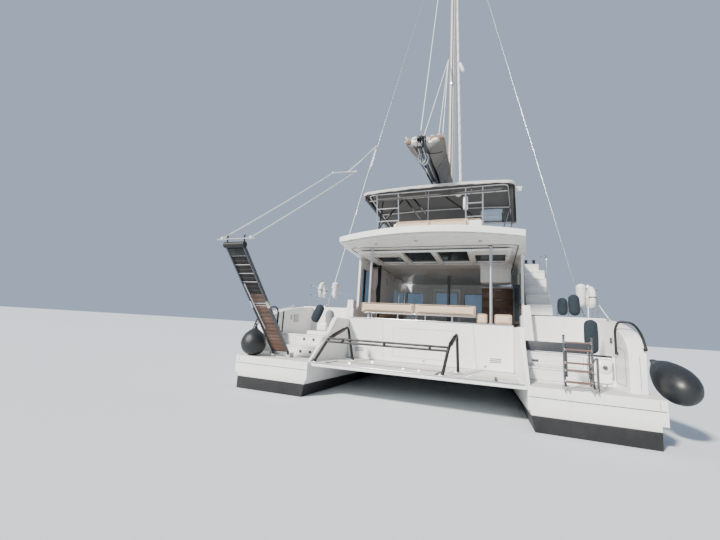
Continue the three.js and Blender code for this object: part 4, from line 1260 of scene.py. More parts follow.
@dataclass
class Ladder:
    """Boarding ladder with wooden treads, stowed upright, and its bracket.

    Attributes:
        middle: X of its middle.
        half: half the distance between its rails.
        pivot: Y and Z of its hinge.
        treads: heights of its treads.
    """

    middle: float = 2.66
    half: float = 0.185
    pivot: tuple[float, float] = (-0.06, 0.72)
    treads: tuple[float, ...] = (0.79, 0.96, 1.07, 1.27, 1.38)

    def build(self) -> None:
        """Makes the ladder and its bracket."""
        y, z = self.pivot
        middle = self.middle
        ladder = Shape()
        for side in (-1, 1):
            x = middle + side * self.half
            # The rails' darkened stainless is a painted dark reflection.
            ladder.tube([(x, y, z), (x, 0.04, z + 0.06), (x, 0.04, 1.48)], 0.017, DARK_STEEL_AND_PAINTED_REFLECTION, bend=0.05, sides=4)
            ladder.rod((x, 0.04, 1.472), (x, 0.04, 1.492), 0.0185, BLACK)
            folded = x - side * 0.034
            ladder.tube([(folded, 0.066, 0.86), (folded, 0.066, 1.36)], 0.0145, DARK_STEEL_AND_PAINTED_REFLECTION, sides=4)
            for height in (0.87, 1.3):
                ladder.rod((x + side * 0.012, 0.045, height), (folded - side * 0.01, 0.064, height), 0.012, BLACK)
            ladder.rod((x - 0.02, y, z), (x + 0.02, y, z), 0.012, STEEL)
        for height in self.treads:
            ladder.box((middle - 0.176, 0.006, height - 0.013), (middle + 0.176, 0.076, height + 0.013), TREAD_WOOD)
            for side in (-1, 1):
                x = middle + side * 0.172
                ladder.box((x - 0.012, 0.012, height - 0.018), (x + 0.012, 0.07, height + 0.018), STEEL, 0.003)
        ladder.build("boarding_ladder_dressed", "boarding_ladder", "boarding_ladder")
        smooth_copy("ladder_bracket", "ladder_hinge_bracket", STEEL, 0.002)


@dataclass
class AftPlatform:
    """Platform between the hulls with its boards, hatches, black strips of painted shadow and the tender rail."""

    top: float = 0.67
    tube: float = 0.029

    def build(self) -> None:
        """Makes the pieces."""
        for node, finish, edge in (("aft_platform", WHITE, 0.012), ("cockpit_bulkhead", WHITE, 0.03),
                                   ("bridgedeck", HULL, 0.01)):
            smooth_copy(node, f"{node}_moulding", finish, edge)
        self.boards()
        self.rail()
        self.bulkhead_trim()

    def boards(self) -> None:
        """Pale boards, hatch frames, lashing points and black strips of painted shadow."""
        deck = Shape()
        planks(deck, (-1.86, 0.16, self.top - 0.002), (1.86, 0.5, self.top + 0.004))
        for x0, x1 in ((-1.86, -0.66), (-0.6, 0.6), (0.66, 1.86)):
            planks(deck, (x0, 0.55, self.top - 0.002), (x1, 1.66, self.top + 0.005))
        for x, y in ((-1.2, 0.32), (-0.1, 0.32), (0.2, 0.3), (1.1, 0.34), (-0.95, 1.0), (0.95, 1.0)):
            deck.box((x - 0.09, y - 0.02, self.top + 0.002), (x + 0.09, y + 0.02, self.top + 0.008), STEEL, 0.006)
            bent = ((-0.04, 0.004), (-0.03, 0.03), (0.03, 0.03), (0.04, 0.004))
            eye = [(x + dx, y, self.top + rise) for dx, rise in bent]
            deck.tube(eye, 0.005, STEEL, bend=0.012)
        # Black strips on the boards: painted shadows of the tender rail.
        for x in (-1.62, 0.52, 1.5):
            deck.box((x - 0.025, 0.14, self.top + 0.004), (x + 0.025, 0.72, self.top + 0.009), BLACK, 0.002)
        deck.tube([(-1.94, 0.115, 0.612), (1.94, 0.115, 0.612)], 0.005, SEAM)
        deck.box((-1.93, 0.088, 0.652), (1.93, 0.112, 0.672), STEEL, 0.006)
        deck.build("aft_platform_boards", BOAT)

    def rail(self) -> None:
        """The black tube frames that carry a tender, with chocks on the crossbar."""
        frames = (((-1.46, 1.14, 0.672), (-1.62, 1.14, 1.40), (-1.61, 0.15, 1.156), (-1.90, 0.15, 0.672)),
                  ((0.83, 0.86, 0.672), (0.80, 0.86, 1.40), (0.73, 0.15, 1.156), (0.63, 0.15, 0.672)))
        rail = Shape()
        for row in frames:
            rail.tube(row, self.tube, BLACK, bend=0.1, sides=4)
            for x, y, z in (row[0], row[-1]):
                rail.box((x - 0.06, y - 0.05, 0.671), (x + 0.06, y + 0.05, 0.683), STEEL, 0.005)
                rail.rod((x, y, z), (x, y, z + 0.06), 0.032, BLACK, 0.026)
        for drop in (0.0, 0.062):
            ends = [(x - lean * drop, 0.15, 1.156 - drop) for x, lean in ((-1.61, 0.7), (0.73, 0.2))]
            rail.tube(ends, 0.021, BLACK)
        for x in (-1.3, -0.45, 0.4):
            rail.box((x - 0.02, 0.118, 1.078), (x + 0.02, 0.182, 1.172), BLACK, 0.006)
        for row in frames:
            top, bend = Vector(row[1]), Vector(row[2])
            rail.rod(top.lerp(bend, 0.25), top.lerp(bend, 0.78), 0.041, BLACK)
        rail.build("tender_frame", BOAT, "tender_rail")

    def bulkhead_trim(self) -> None:
        """Seams, vents and step lights on the white bulkhead."""
        trim = Shape()
        y = 1.7495
        for x, lean in ((-1.0, 0.06), (1.05, 0.08)):
            trim.tube([(x, y, 1.62), (x + lean, y, 0.69)], 0.003, SEAM)
        trim.outline(upright(-0.72, 0.72, y, 0.80, 1.45), 0.0022, SEAM, 0.05)
        for x in (-1.55, 1.5):
            for z in (0.86, 0.895, 0.93):
                trim.box((x - 0.11, y - 0.004, z - 0.008), (x + 0.11, y + 0.004, z + 0.008), SEAM, 0.003)
        light = [(0, 0), (0.024, 0), (0.026, 0.006), (0.014, 0.01), (0, 0.01)]
        for x in (-1.3, 0.0, 1.3):
            trim.turned(light, (x, y + 0.003, 0.76), (x, 0, 0.76), STEEL)
        trim.box((-1.85, 1.742, 1.628), (1.85, 1.76, 1.652), STEEL, 0.006)
        trim.build("bulkhead_trim", BOAT)


@dataclass
class Cockpit:
    """Bench, reversible backrests, corner seat, curtain and side screen of the cockpit."""

    pillars: tuple[float, ...] = (-1.3, -0.65, 0.0, 0.6)
    backrest: float = 1.795
    posts: float = 1.89

    def build(self) -> None:
        """Makes the pieces."""
        bench = Shape().node("cockpit_bench", WHITE)
        bench.box((-1.47, 2.393, 1.50), (1.47, 2.404, 1.53), VENEER, 0.003)
        for x in (-0.75, 0.0, 0.75):
            bench.box((x - 0.002, 2.398, 1.27), (x + 0.002, 2.402, 1.49), SEAM, 0)
        bench.build("cockpit_bench_moulding", BOAT, "cockpit_bench", edge=0.02)
        Cushion("port_backrest", (-1.56, 1.757, 1.80), (-0.275, 1.833, 2.02), fill=0.8).build(BOAT, "bench_backrest")
        Cushion("starboard_backrest", (-0.245, 1.757, 1.80), (1.1, 1.833, 2.02), fill=0.8).build()
        for name, low, high in (("port_bench_cushion", -1.48, -0.51), ("middle_bench_cushion", -0.49, 0.49),
                                ("starboard_bench_cushion", 0.51, 1.48)):
            Cushion(name, (low, 1.96, 1.552), (high, 2.39, 1.642)).build()
        for name, low, high in (("corner_seat_cushion_1", 1.12, 1.335), ("corner_seat_cushion_2", 1.485, 1.83)):
            Cushion(name, (low, 1.845, 1.658), (high, 1.952, 1.868), fill=0.7).build()
        self.frame()
        self.curtain()
        self.screen()
        self.table()

    def frame(self) -> None:
        """The tube under the backrests with its posts and the two roof posts."""
        frame = Shape()
        y = self.backrest
        frame.tube([(-1.5, y, 1.785), (1.1, y, 1.785)], 0.014, STEEL)
        foot = [(0, 0), (0.04, 0), (0.04, 0.005), (0.02, 0.012), (0, 0.014)]
        for x in self.pillars:
            frame.rod((x, y, 1.649), (x, y, 1.785), 0.016, STEEL)
            frame.turned(foot, (x, y, 1.65), (x, y, 3), STEEL)
        for x in (-1.36, -0.4, -0.12, 0.95):
            frame.tube([(x, 1.835, 1.785), (x, 1.85, 1.83), (x, 1.838, 1.93)], 0.009, STEEL, bend=0.03)
        frame.build("backrest_frame", BOAT)
        posts = Shape()
        for x in (-1.41, 1.41):
            posts.rod((x, self.posts, 1.65), (x, self.posts, 3.40), 0.033, RAW_ALLOY, sides=24)
            for low in (1.65, 3.378):
                posts.flange((x, self.posts, low), (0.062, 0.014, 0.044, 0.022), STEEL)
        posts.build("roof_posts", BOAT, "port_post", "starboard_post")

    def curtain(self) -> None:
        """A gathered curtain tied back beside the port window, between two dark uprights and before a dark board,
        which paint the shadow bands round it.
        """
        middle, back, high, low, width, depth = -1.945, 3.76, 3.24, 2.12, 0.16, 0.045
        part = bmesh.new()
        bmesh.ops.create_grid(part, x_segments=72, y_segments=40, size=1)
        for spot in part.verts:
            u, v = spot.co.x, spot.co.y
            waist = 1 - 0.42 * math.exp(-((v + 0.28) / 0.3) ** 2)
            fold = math.sin(u * 17.5 + 0.7 * math.sin(v * 2.3)) * depth * (0.55 + 0.45 * waist)
            x = middle + u * width * 0.62 * waist + 0.012 * math.sin(v * 3 + u)
            spot.co = Vector((x, back + fold, low + (high - low) * (v + 1) / 2 + 0.01 * math.sin(u * 17.5)))
        bmesh.ops.recalc_face_normals(part, faces=part.faces)
        cloth = Shape().take(part, CURTAIN)
        piece = cloth.build("port_curtain", BOAT, angle=180)
        thick = piece.modifiers.new("cloth", "SOLIDIFY")
        thick.thickness = 0.003
        trim = Shape()
        trim.tube([(middle + 0.070 * c, back + 0.060 * s, 2.52) for c, s in circle(24)], 0.009, TAN, closed=True)
        trim.tube([(-2.06, back, 3.262), (-1.80, back, 3.262)], 0.009, STEEL)
        track = trim.build("port_curtain_track", BOAT)
        # Black uprights, a black bar and a dark board round the curtain: painted shadow beside and behind it.
        screen = Shape()
        for x in (-2.08, -1.785):
            screen.box((x - 0.017, back - 0.02, 1.255), (x + 0.017, back + 0.085, 3.389), BLACK, 0.004)
        screen.box((-2.08, back - 0.015, 3.33), (-1.785, back + 0.08, 3.36), BLACK, 0.003)
        screen.box((-2.08, back + 0.06, 1.90), (-1.785, back + 0.075, 3.345), DARK_BOARD, 0.003)
        screen.build("port_side_screen", BOAT)

    def screen(self) -> None:
        """The dark side screen at the starboard end of the bench."""
        screen = Shape()
        screen.box((1.90, 2.88, 1.70), (2.06, 2.9, 2.66), DARK_BOARD, 0.006)
        screen.box((1.935, 2.872, 1.78), (2.025, 2.882, 2.58), DARK_GLASS, 0.004)
        for z in (1.72, 2.18, 2.64):
            screen.box((1.895, 2.866, z - 0.012), (2.065, 2.90, z + 0.012), BLACK, 0.004)
        screen.build("starboard_side_screen", BOAT)
        sides = Shape()
        for side in (-1, 1):
            x = side * 2.075
            sides.box((x, 2.42, 1.252), (x - side * 0.03, 2.9, 1.9), WHITE, 0.012)
        sides.build("cockpit_side_mouldings", BOAT)

    def table(self) -> None:
        """The folded cockpit table on its pedestal."""
        table = Shape()
        table.box((-1.15, 3.15, 1.95), (0.05, 3.75, 1.985), VENEER, 0.012)
        table.box((-1.165, 3.135, 1.953), (0.065, 3.765, 1.978), GREY_MOULDING, 0.01)
        table.rod((-0.55, 3.45, 1.251), (-0.55, 3.45, 1.955), 0.045, RAW_ALLOY, sides=24)
        table.flange((-0.55, 3.45, 1.251), (0.17, 0.008, 0.06, 0.03), RAW_ALLOY)
        table.build("cockpit_table", BOAT)


@dataclass
class Cabin:
    """Cabin walls with their windows, the front door, the cabinet, the sofa and the sole."""

    side_windows: tuple[Place, ...] = ((3.05, 4.25, 3.12), (6.60, 7.40, 2.90), (7.50, 8.35, 2.95))
    front_windows: tuple[tuple[float, float], ...] = ((-2.05, -1.36), (0.35, 1.95))
    front_sill: float = 2.25
    front_head: float = 3.03
    sill: float = 2.12
    head: float = 3.12

    def build(self) -> None:
        """Makes the pieces."""
        for side, word in SIDES:
            self.side_wall(side, word)
        self.front_wall()
        self.door()
        self.inside()

    def side_wall(self, side: int, word: str) -> None:
        """One side wall, its glass and the black frame round the panes.

        Args:
            side: 1 for starboard, -1 for port.
            word: the side's name.
        """
        smooth_copy(f"{word}_cabin_wall", f"{word}_cabin_side", WHITE, 0.008)
        smooth_copy(f"{word}_cabin_glass", f"{word}_cabin_panes", WINDOW, 0.002)
        frame = Shape()
        x0, x1 = side * 2.158, side * 2.166
        low, high = 2.062, 3.178
        for z0, z1 in ((low, self.sill), (self.head, high)):
            frame.box((x0, 2.995, z0), (x1, 8.405, z1), BLACK, 0.003)
        frame.box((x0, 3.36, self.sill), (x1, 3.54, self.head), BLACK, 0.003)
        edges = [2.995, *[y for window in self.side_windows for y in window[:2]], 8.405]
        for y0, y1 in zip(edges[::2], edges[1::2]):
            frame.box((x0, y0, self.sill - 0.002), (x1, y1, self.head + 0.002), BLACK, 0.003)
        for y0, y1, head in self.side_windows:
            if head < self.head:
                frame.box((x0, y0 - 0.002, head), (x1, y1 + 0.002, self.head + 0.002), BLACK, 0.003)
            corners = [(x1, y0, self.sill), (x1, y1, self.sill), (x1, y1, head), (x1, y0, head)]
            frame.outline(corners, 0.006, SEAM, 0.08, all_round=True)
        frame.build(f"{word}_window_frame", BOAT)

    def front_wall(self) -> None:
        """The front wall and its glass."""
        smooth_copy("front_cabin_wall", "front_cabin_moulding", WHITE, 0.008)
        for word in ("port", "starboard"):
            smooth_copy(f"{word}_front_glass", f"{word}_front_pane", WINDOW, 0.002)
        trim = Shape()
        y = 8.604
        for x0, x1 in self.front_windows:
            trim.outline(upright(x0, x1, y, self.front_sill, self.front_head), 0.016, BLACK, 0.06, all_round=True)
        trim.outline(upright(-0.92, 0.17, y, 1.36, 3.2), 0.012, GREY_MOULDING, 0.05)
        trim.build("front_window_seals", BOAT)

    def door(self) -> None:
        """The front door with its pane, hinges and handle."""
        door = Shape().node("front_door", WHITE)
        door.box((-0.81, 8.564, 2.09), (0.06, 8.574, 3.04), WINDOW, 0.002)
        handle = [(0.095, y, z) for y, z in ((8.588, 2.0), (8.625, 2.03), (8.625, 2.15), (8.588, 2.18))]
        door.tube(handle, 0.009, STEEL, bend=0.02)
        for z in (1.6, 2.3, 3.0):
            door.box((-0.885, 8.584, z - 0.04), (-0.82, 8.594, z + 0.04), STEEL, 0.004)
        door.build("front_door_leaf", "front_door", "front_door", edge=0.006)

    def inside(self) -> None:
        """The cabinet, the sofa, the sole, the mast post, the ceiling and the overhead locker."""
        cabinet = Shape().node("galley_cabinet", VENEER)
        for z0, z1 in ((2.20, 2.44), (2.46, 2.72)):
            cabinet.box((1.18, 4.288, z0), (2.02, 4.302, z1), VENEER, 0.004)
            cabinet.box((1.5, 4.276, z1 - 0.04), (1.7, 4.29, z1 - 0.025), STEEL, 0.004)
        for x0, x1 in ((1.18, 1.59), (1.61, 2.02)):
            cabinet.box((x0, 4.288, 1.30), (x1, 4.302, 2.18), VENEER, 0.004)
        cabinet.box((1.13, 4.27, 2.745), (2.06, 5.72, 2.772), GREY_MOULDING, 0.006)
        cabinet.build("galley_cabinet_doors", BOAT, "galley_cabinet", edge=0.006)
        locker = Shape().box((1.12, 4.0, 2.87), (1.92, 4.5, 3.28), WHITE, 0.03, segments=4)
        locker.box((1.16, 3.99, 2.90), (1.88, 4.004, 3.25), WHITE, 0.01)
        locker.box((1.45, 3.978, 2.93), (1.6, 3.992, 2.945), STEEL, 0.004)
        locker.box((1.1, 3.98, 3.27), (1.95, 4.5, 3.401), CEILING, 0.02)
        locker.build("overhead_locker", BOAT)
        sofa = Shape()
        sofa.box((-2.08, 4.3, 1.25), (-1.46, 7.3, 1.53), WHITE, 0.03, segments=3)
        sofa.box((-2.08, 4.3, 1.53), (-1.99, 7.3, 1.95), WHITE, 0.02)
        sofa.build("sofa_base", BOAT, "saloon_sofa")
        for i in range(3):
            y0 = 4.31 + i
            Cushion(f"sofa_seat_{i + 1}", (-1.98, y0, 1.535), (-1.455, y0 + 0.98, 1.65), fill=0.7).build()
            Cushion(f"sofa_back_{i + 1}", (-1.985, y0, 1.66), (-1.88, y0 + 0.98, 2.05), fill=0.6).build()
        sole = Shape().box((-2.05, 1.97, 1.2505), (2.05, 8.5, 1.256), FLOOR_WOOD, 0.001)
        sole.build("cockpit_sole", BOAT)
        post = Shape().rod((0, 6.2, 1.25), (0, 6.2, 3.4), 0.048, DARK_STEEL_AND_PAINTED_REFLECTION, sides=28)
        post.flange((0, 6.2, 1.256), (0.09, 0.012, 0.055, 0.02), STEEL)
        post.build("mast_post_tube", BOAT, "mast_post")


@dataclass
class Hardtop:
    """The rigid roof with its ribbed underside, seam, lights, stern door and deck gear."""

    ceiling: float = 3.40
    slope_start: float = 1.75
    edge: float = 0.016

    def build(self) -> None:
        """Makes the pieces."""
        roof = Shape().node("hardtop", WHITE, DECK, 3.5)
        roof.build("hardtop_moulding", BOAT, "hardtop", edge=self.edge)
        self.underside()
        self.stern_door()
        self.details()

    def aft_edge(self, x: float) -> float:
        """Y of the roof's aft edge at a distance off the centreline."""
        return 1.0 + 0.31 * (abs(x) / 2.08) ** 2

    def under(self, x: float, y: float) -> float:
        """Height of the roof's underside, which rises from the level ceiling to the aft edge.

        Args:
            x: distance off the centreline.
            y: distance forward of the transoms.

        Returns:
            The height.
        """
        edge = 3.45 + 0.085 * (1 - (x / 2.08) ** 2)
        share = max(0.0, (self.slope_start - y) / (self.slope_start - self.aft_edge(x)))
        return self.ceiling + (edge - self.ceiling) * share

    def top(self, x: float) -> float:
        """Height of the crowned roof at a distance off the centreline."""
        return 3.58 + 0.105 * (1 - (x / 2.1) ** 2)

    def underside(self) -> None:
        """Curved ribs along the aft edge, the headlining seam and the lights."""
        ribs = Shape()
        z = self.ceiling
        for offset, radius, finish in ((0.045, 0.006, SEAM), (0.10, 0.014, CEILING), (0.24, 0.014, CEILING),
                                       (0.38, 0.014, CEILING), (0.52, 0.014, CEILING)):
            reach = 2.04 - offset * 0.2
            path = []
            for i in range(33):
                x = reach * (i / 16 - 1)
                y = self.aft_edge(x) + offset
                path.append((x, y, self.under(x, y) + 0.001))
            ribs.tube(path, radius, finish)
        ribs.build("hardtop_ribs", BOAT)
        seam = Shape()
        path = [(x, y, z - 0.003) for x, y in ((-2.0, 8.2), (-1.98, 1.74), (1.98, 1.80), (2.0, 8.2))]
        seam.tube(bent_path(path, 0.22, 10), 0.011, SEAM)
        panel = Shape().box((-1.95, 3.75, z - 0.012), (1.95, 8.4, z + 0.002), CEILING, 0.005)
        for y in (4.9, 6.1, 7.3):
            panel.box((-1.9, y - 0.004, z - 0.014), (1.9, y + 0.004, z - 0.010), SEAM, 0.001)
        panel.build("headlining", BOAT)
        lamp = [(0, 0), (0.045, 0), (0.046, 0.006), (0.034, 0.01), (0, 0.008)]
        for x, y in ((-1.2, 1.55), (-0.2, 1.45), (1.2, 1.56), (-0.9, 4.3), (0.9, 4.3), (-0.9, 6.6), (0.9, 6.6)):
            seam.turned(lamp, (x, y, self.under(x, y) + 0.001), (x, y, 0), STEEL)
        seam.build("ceiling_seam_and_lights", BOAT)

    def stern_door(self) -> None:
        """The lifting panel over the cockpit with its four dark panes."""
        door = Shape().node("stern_door", WHITE)
        for x in (-1.715, -0.78, 0.095, 0.96, 1.795):
            door.box((x - 0.03, 2.03, 3.315), (x + 0.03, 3.66, 3.324), WHITE, 0.004)
        for y in (2.025, 3.655):
            door.box((-1.83, y - 0.010, 3.315), (1.83, y + 0.010, 3.322), WHITE, 0.003)
        for x0, x1, aft in ((-1.58, -0.87, 0.56), (-0.69, 0.02, 0.06), (0.17, 0.88, 0.06), (1.04, 1.74, 0.48)):
            rim = [(x0, 2 + aft, 3.321), (x1, 2 + aft, 3.321), (x1, 3.45, 3.321), (x0, 3.45, 3.321)]
            door.outline(rim, 0.006, SEAM)
        for x in (-1.3, 1.3):
            door.box((x - 0.09, 3.60, 3.30), (x + 0.09, 3.66, 3.322), STEEL, 0.006)
        door.build("stern_door_panel", "stern_door", "stern_door", edge=0.006)
        smooth_copy("stern_door_glass", "stern_door_panes", DARK_GLASS, 0.001, "stern_door")

    def details(self) -> None:
        """Grab rails, hatches with their fittings and panel seams on and around the roof."""
        trim = Shape()
        for side in (-1, 1):
            x = side * 2.05
            low = self.top(x) - 0.01
            for aft, fore in ((2.2, 4.0), (5.0, 7.0)):
                grip = [(x, aft, low), (x, aft, low + 0.08), (x, fore, low + 0.08), (x, fore, low)]
                trim.tube(grip, 0.012, STEEL, bend=0.05)
            trim.tube([(side * 2.201, 3.05, 3.50), (side * 2.201, 7.6, 3.50)], 0.005, SEAM)
            x = side * 1.1
            z = self.top(x)
            turn = Matrix.Rotation(side * 0.052, 4, "Y")
            trim.box((x - 0.32, 7.45, z - 0.02), (x + 0.32, 8.10, z + 0.018), GREY_MOULDING, 0.02, turn, segments=3)
            trim.box((x - 0.27, 7.50, z), (x + 0.27, 8.05, z + 0.028), DARK_GLASS, 0.01, turn)
            for y in (7.48, 8.07):
                trim.box((x - 0.05, y - 0.02, z + 0.01), (x + 0.05, y + 0.02, z + 0.034), STEEL, 0.004, turn)
        trim.build("hardtop_details", BOAT)


@dataclass
class Stairs:
    """Stairs from the side deck to the flybridge, with their arched rail."""

    inner: float = 2.215
    outer: float = 2.76
    start: float = 3.02
    run: float = 0.29
    low: float = 1.96
    rise: float = 0.255
    count: int = 5

    def build(self) -> None:
        """Makes the stairs and the rail."""
        inner, outer = self.inner, self.outer
        stairs = Shape().node("flybridge_stairs", WHITE)
        for i in range(self.count):
            aft, top = self.start + i * self.run, self.low + (i + 1) * self.rise
            fore = aft + self.run - 0.03
            stairs.box((inner + 0.05, aft + 0.04, top - 0.003), (outer - 0.05, fore, top + 0.006), DECK_GREY, 0.03,
                       segments=3)
            nose = (inner + 0.005, aft - 0.014, top - 0.05)
            stairs.box(nose, (outer - 0.005, aft + 0.02, top + 0.003), WHITE, 0.014)
        head, sill = self.start + self.count * self.run, self.low + self.count * self.rise + 0.007
        stairs.box((inner + 0.015, head - 0.15, sill), (outer - 0.12, head, sill + 0.21), WHITE, 0.02, segments=3)
        winch = [(0, 0), (0.055, 0), (0.055, 0.015), (0.036, 0.035), (0.034, 0.085), (0.05, 0.11), (0, 0.12)]
        for x in (inner + 0.11, outer - 0.24):
            stairs.turned(winch, (x, head - 0.075, sill + 0.21), (x, head - 0.075, 9), BLACK)
        stairs.build("flybridge_steps", BOAT, "flybridge_stairs", edge=0.016)
        rail = Shape()
        path = [(2.72, 3.47, 2.473), (2.72, 3.47, 3.42), (2.72, 3.56, 3.52), (2.69, 4.30, 3.64), (2.68, 4.39, 3.56),
                (2.68, 4.39, 3.238)]
        rail.tube(path, 0.017, STEEL, bend=0.1, sides=4)
        for foot in (path[0], path[-1]):
            rail.flange(foot, (0.034, 0.006, 0.02, 0.012), STEEL)
        rail.build("flybridge_stair_rail", BOAT, "stair_rail")


@dataclass
class Flybridge:
    """Bench, helm console and seat, steering wheel and deck gear of the flybridge.

    Attributes:
        sole: height of the flybridge's deck.
        wheel: middle of the steering wheel's rim.
        rim: radius of the rim.
        slope: lean of the instrument panel.
    """

    sole: float = 3.56
    wheel: Place = (1.15, 4.82, 4.42)
    rim: float = 0.33
    slope: float = 0.597

    def build(self) -> None:
        """Makes the pieces."""
        smooth_copy("flybridge_bench", "flybridge_bench_moulding", WHITE, 0.02)
        edges = (-0.78, -0.11, 0.55, 1.21)
        for i, (x0, x1) in enumerate(zip(edges, edges[1:])):
            nodes = ("flybridge_cushion",) if i == 0 else ()
            Cushion(f"flybridge_seat_{i + 1}", (x0, 1.83, 3.783), (x1 - 0.01, 2.24, 3.885)).build(BOAT, *nodes)
            Cushion(f"flybridge_back_{i + 1}", (x0, 1.725, 3.79), (x1 - 0.01, 1.822, 4.01), fill=0.7).build()
        for i, (x0, x1) in enumerate(((-0.72, 0.08), (0.09, 0.93))):
            Cushion(f"flybridge_aft_pad_{i + 1}", (x0, 1.565, 3.70), (x1, 1.616, 3.945)).build()
            Cushion(f"flybridge_top_roll_{i + 1}", (x0, 1.622, 3.943), (x1, 1.718, 3.99)).build()
        self.helm()
        self.steering()
        self.deck_gear()

    def helm(self) -> None:
        """Console with blank instruments, and the seat for two behind the wheel."""
        x = self.wheel[0]
        console = Shape().node("helm_console", WHITE)
        turn = Matrix.Rotation(self.slope, 4, "X")
        out = Vector((0, -0.563, 0.827))
        lift = out * 0.006
        for dx, width, depth in ((0.0, 0.17, 0.11), (-0.28, 0.075, 0.09), (0.28, 0.075, 0.09)):
            middle = Vector((x + dx, 5.075, 4.565)) + lift
            half = Vector((width, depth, 0.008))
            console.box(middle - half * 1.1, middle + half * 1.1, BLACK, 0.006, turn)
            half.z += 0.006
            console.box(middle - half, middle + half, DARK_GLASS, 0.003, turn)
        for dx in (-0.12, 0.12):
            spot = Vector((x + dx, 4.975, 4.50)) + lift
            console.flange(spot, (0.042, 0.012, 0.03, 0.018), BLACK, spot + out)
        compass = [(0, 0), (0.07, 0), (0.07, 0.02), (0.055, 0.05), (0.03, 0.07), (0, 0.076)]
        console.turned(compass, (x, 5.2, 4.64), (x, 5.2, 9), BLACK)
        for dx in (-0.03, 0.03):
            console.rod((x + 0.36 + dx, 5.0, 4.50), (x + 0.36 + dx, 4.93, 4.66), 0.007, STEEL)
            console.ball((x + 0.36 + dx, 4.93, 4.66), 0.018, BLACK)
        console.box((x - 0.36, 4.888, 3.66), (x + 0.36, 4.902, 4.2), WHITE, 0.01)
        console.box((x + 0.22, 4.876, 3.9), (x + 0.3, 4.892, 3.96), STEEL, 0.004)
        console.build("helm_console_dressed", BOAT, "helm_console", edge=0.018)
        seat = Shape().box((x - 0.43, 3.83, self.sole), (x + 0.43, 4.17, 3.86), WHITE, 0.03, segments=3)
        seat.box((x - 0.44, 3.80, 3.84), (x + 0.44, 3.84, 4.38), WHITE, 0.015, segments=3)
        seat.build("helm_seat_base", BOAT)
        Cushion("helm_seat_cushion", (x - 0.45, 3.905, 3.865), (x + 0.45, 4.20, 3.985)).build(BOAT, "helm_seat")
        Cushion("helm_seat_back", (x - 0.45, 3.845, 4.0), (x + 0.45, 3.93, 4.43), fill=0.7).build()

    def steering(self) -> None:
        """The steering wheel."""
        x, y, z = self.wheel
        wheel = Shape()
        ring = [(x + self.rim * c, y, z + self.rim * s) for c, s in circle(60)]
        wheel.tube(ring, 0.016, BLACK, closed=True, sides=4)
        hub = [(0, 0), (0.036, 0), (0.045, 0.012), (0.045, 0.145), (0, 0.145)]
        wheel.turned(hub, (x, y - 0.03, z), (x, 9, z), STEEL)
        for degrees in (90, 210, 330):
            a = math.radians(degrees)
            wheel.rod((x, y, z), (x + self.rim * math.cos(a), y, z + self.rim * math.sin(a)), 0.009, STEEL)
        wheel.build("helm_wheel", "steering_wheel", "steering_wheel")

    def deck_gear(self) -> None:
        """Halyard winches, clutches, table and side cushions on the flybridge."""
        gear = Shape()
        winch = [(0, 0), (0.085, 0), (0.085, 0.02), (0.06, 0.05), (0.055, 0.11), (0.075, 0.15), (0.07, 0.17),
                 (0, 0.175)]
        for x, y in ((-0.42, 5.35), (0.42, 5.35), (1.86, 4.95)):
            gear.turned(winch, (x, y, self.sole), (x, y, 9), RAW_ALLOY)
        for x in (-0.15, -0.05, 0.05, 0.15):
            gear.box((x - 0.035, 5.45, self.sole), (x + 0.035, 5.68, self.sole + 0.07), BLACK, 0.012)
            gear.tube([(x, 5.45, self.sole + 0.03), (x, 4.9, self.sole + 0.012)], 0.006, ROPE)
        gear.box((-0.95, 3.05, 4.12), (-0.15, 3.75, 4.15), WHITE, 0.014, segments=3)
        gear.rod((-0.55, 3.4, self.sole), (-0.55, 3.4, 4.13), 0.04, RAW_ALLOY, sides=24)
        gear.box((-1.94, 2.6, self.sole), (-1.42, 5.2, 3.82), WHITE, 0.03, segments=3)
        gear.build("flybridge_deck_gear", BOAT)
        for i in range(2):
            y0 = 2.62 + i * 1.29
            Cushion(f"flybridge_side_cushion_{i + 1}", (-1.92, y0, 3.825), (-1.44, y0 + 1.27, 3.91)).build()


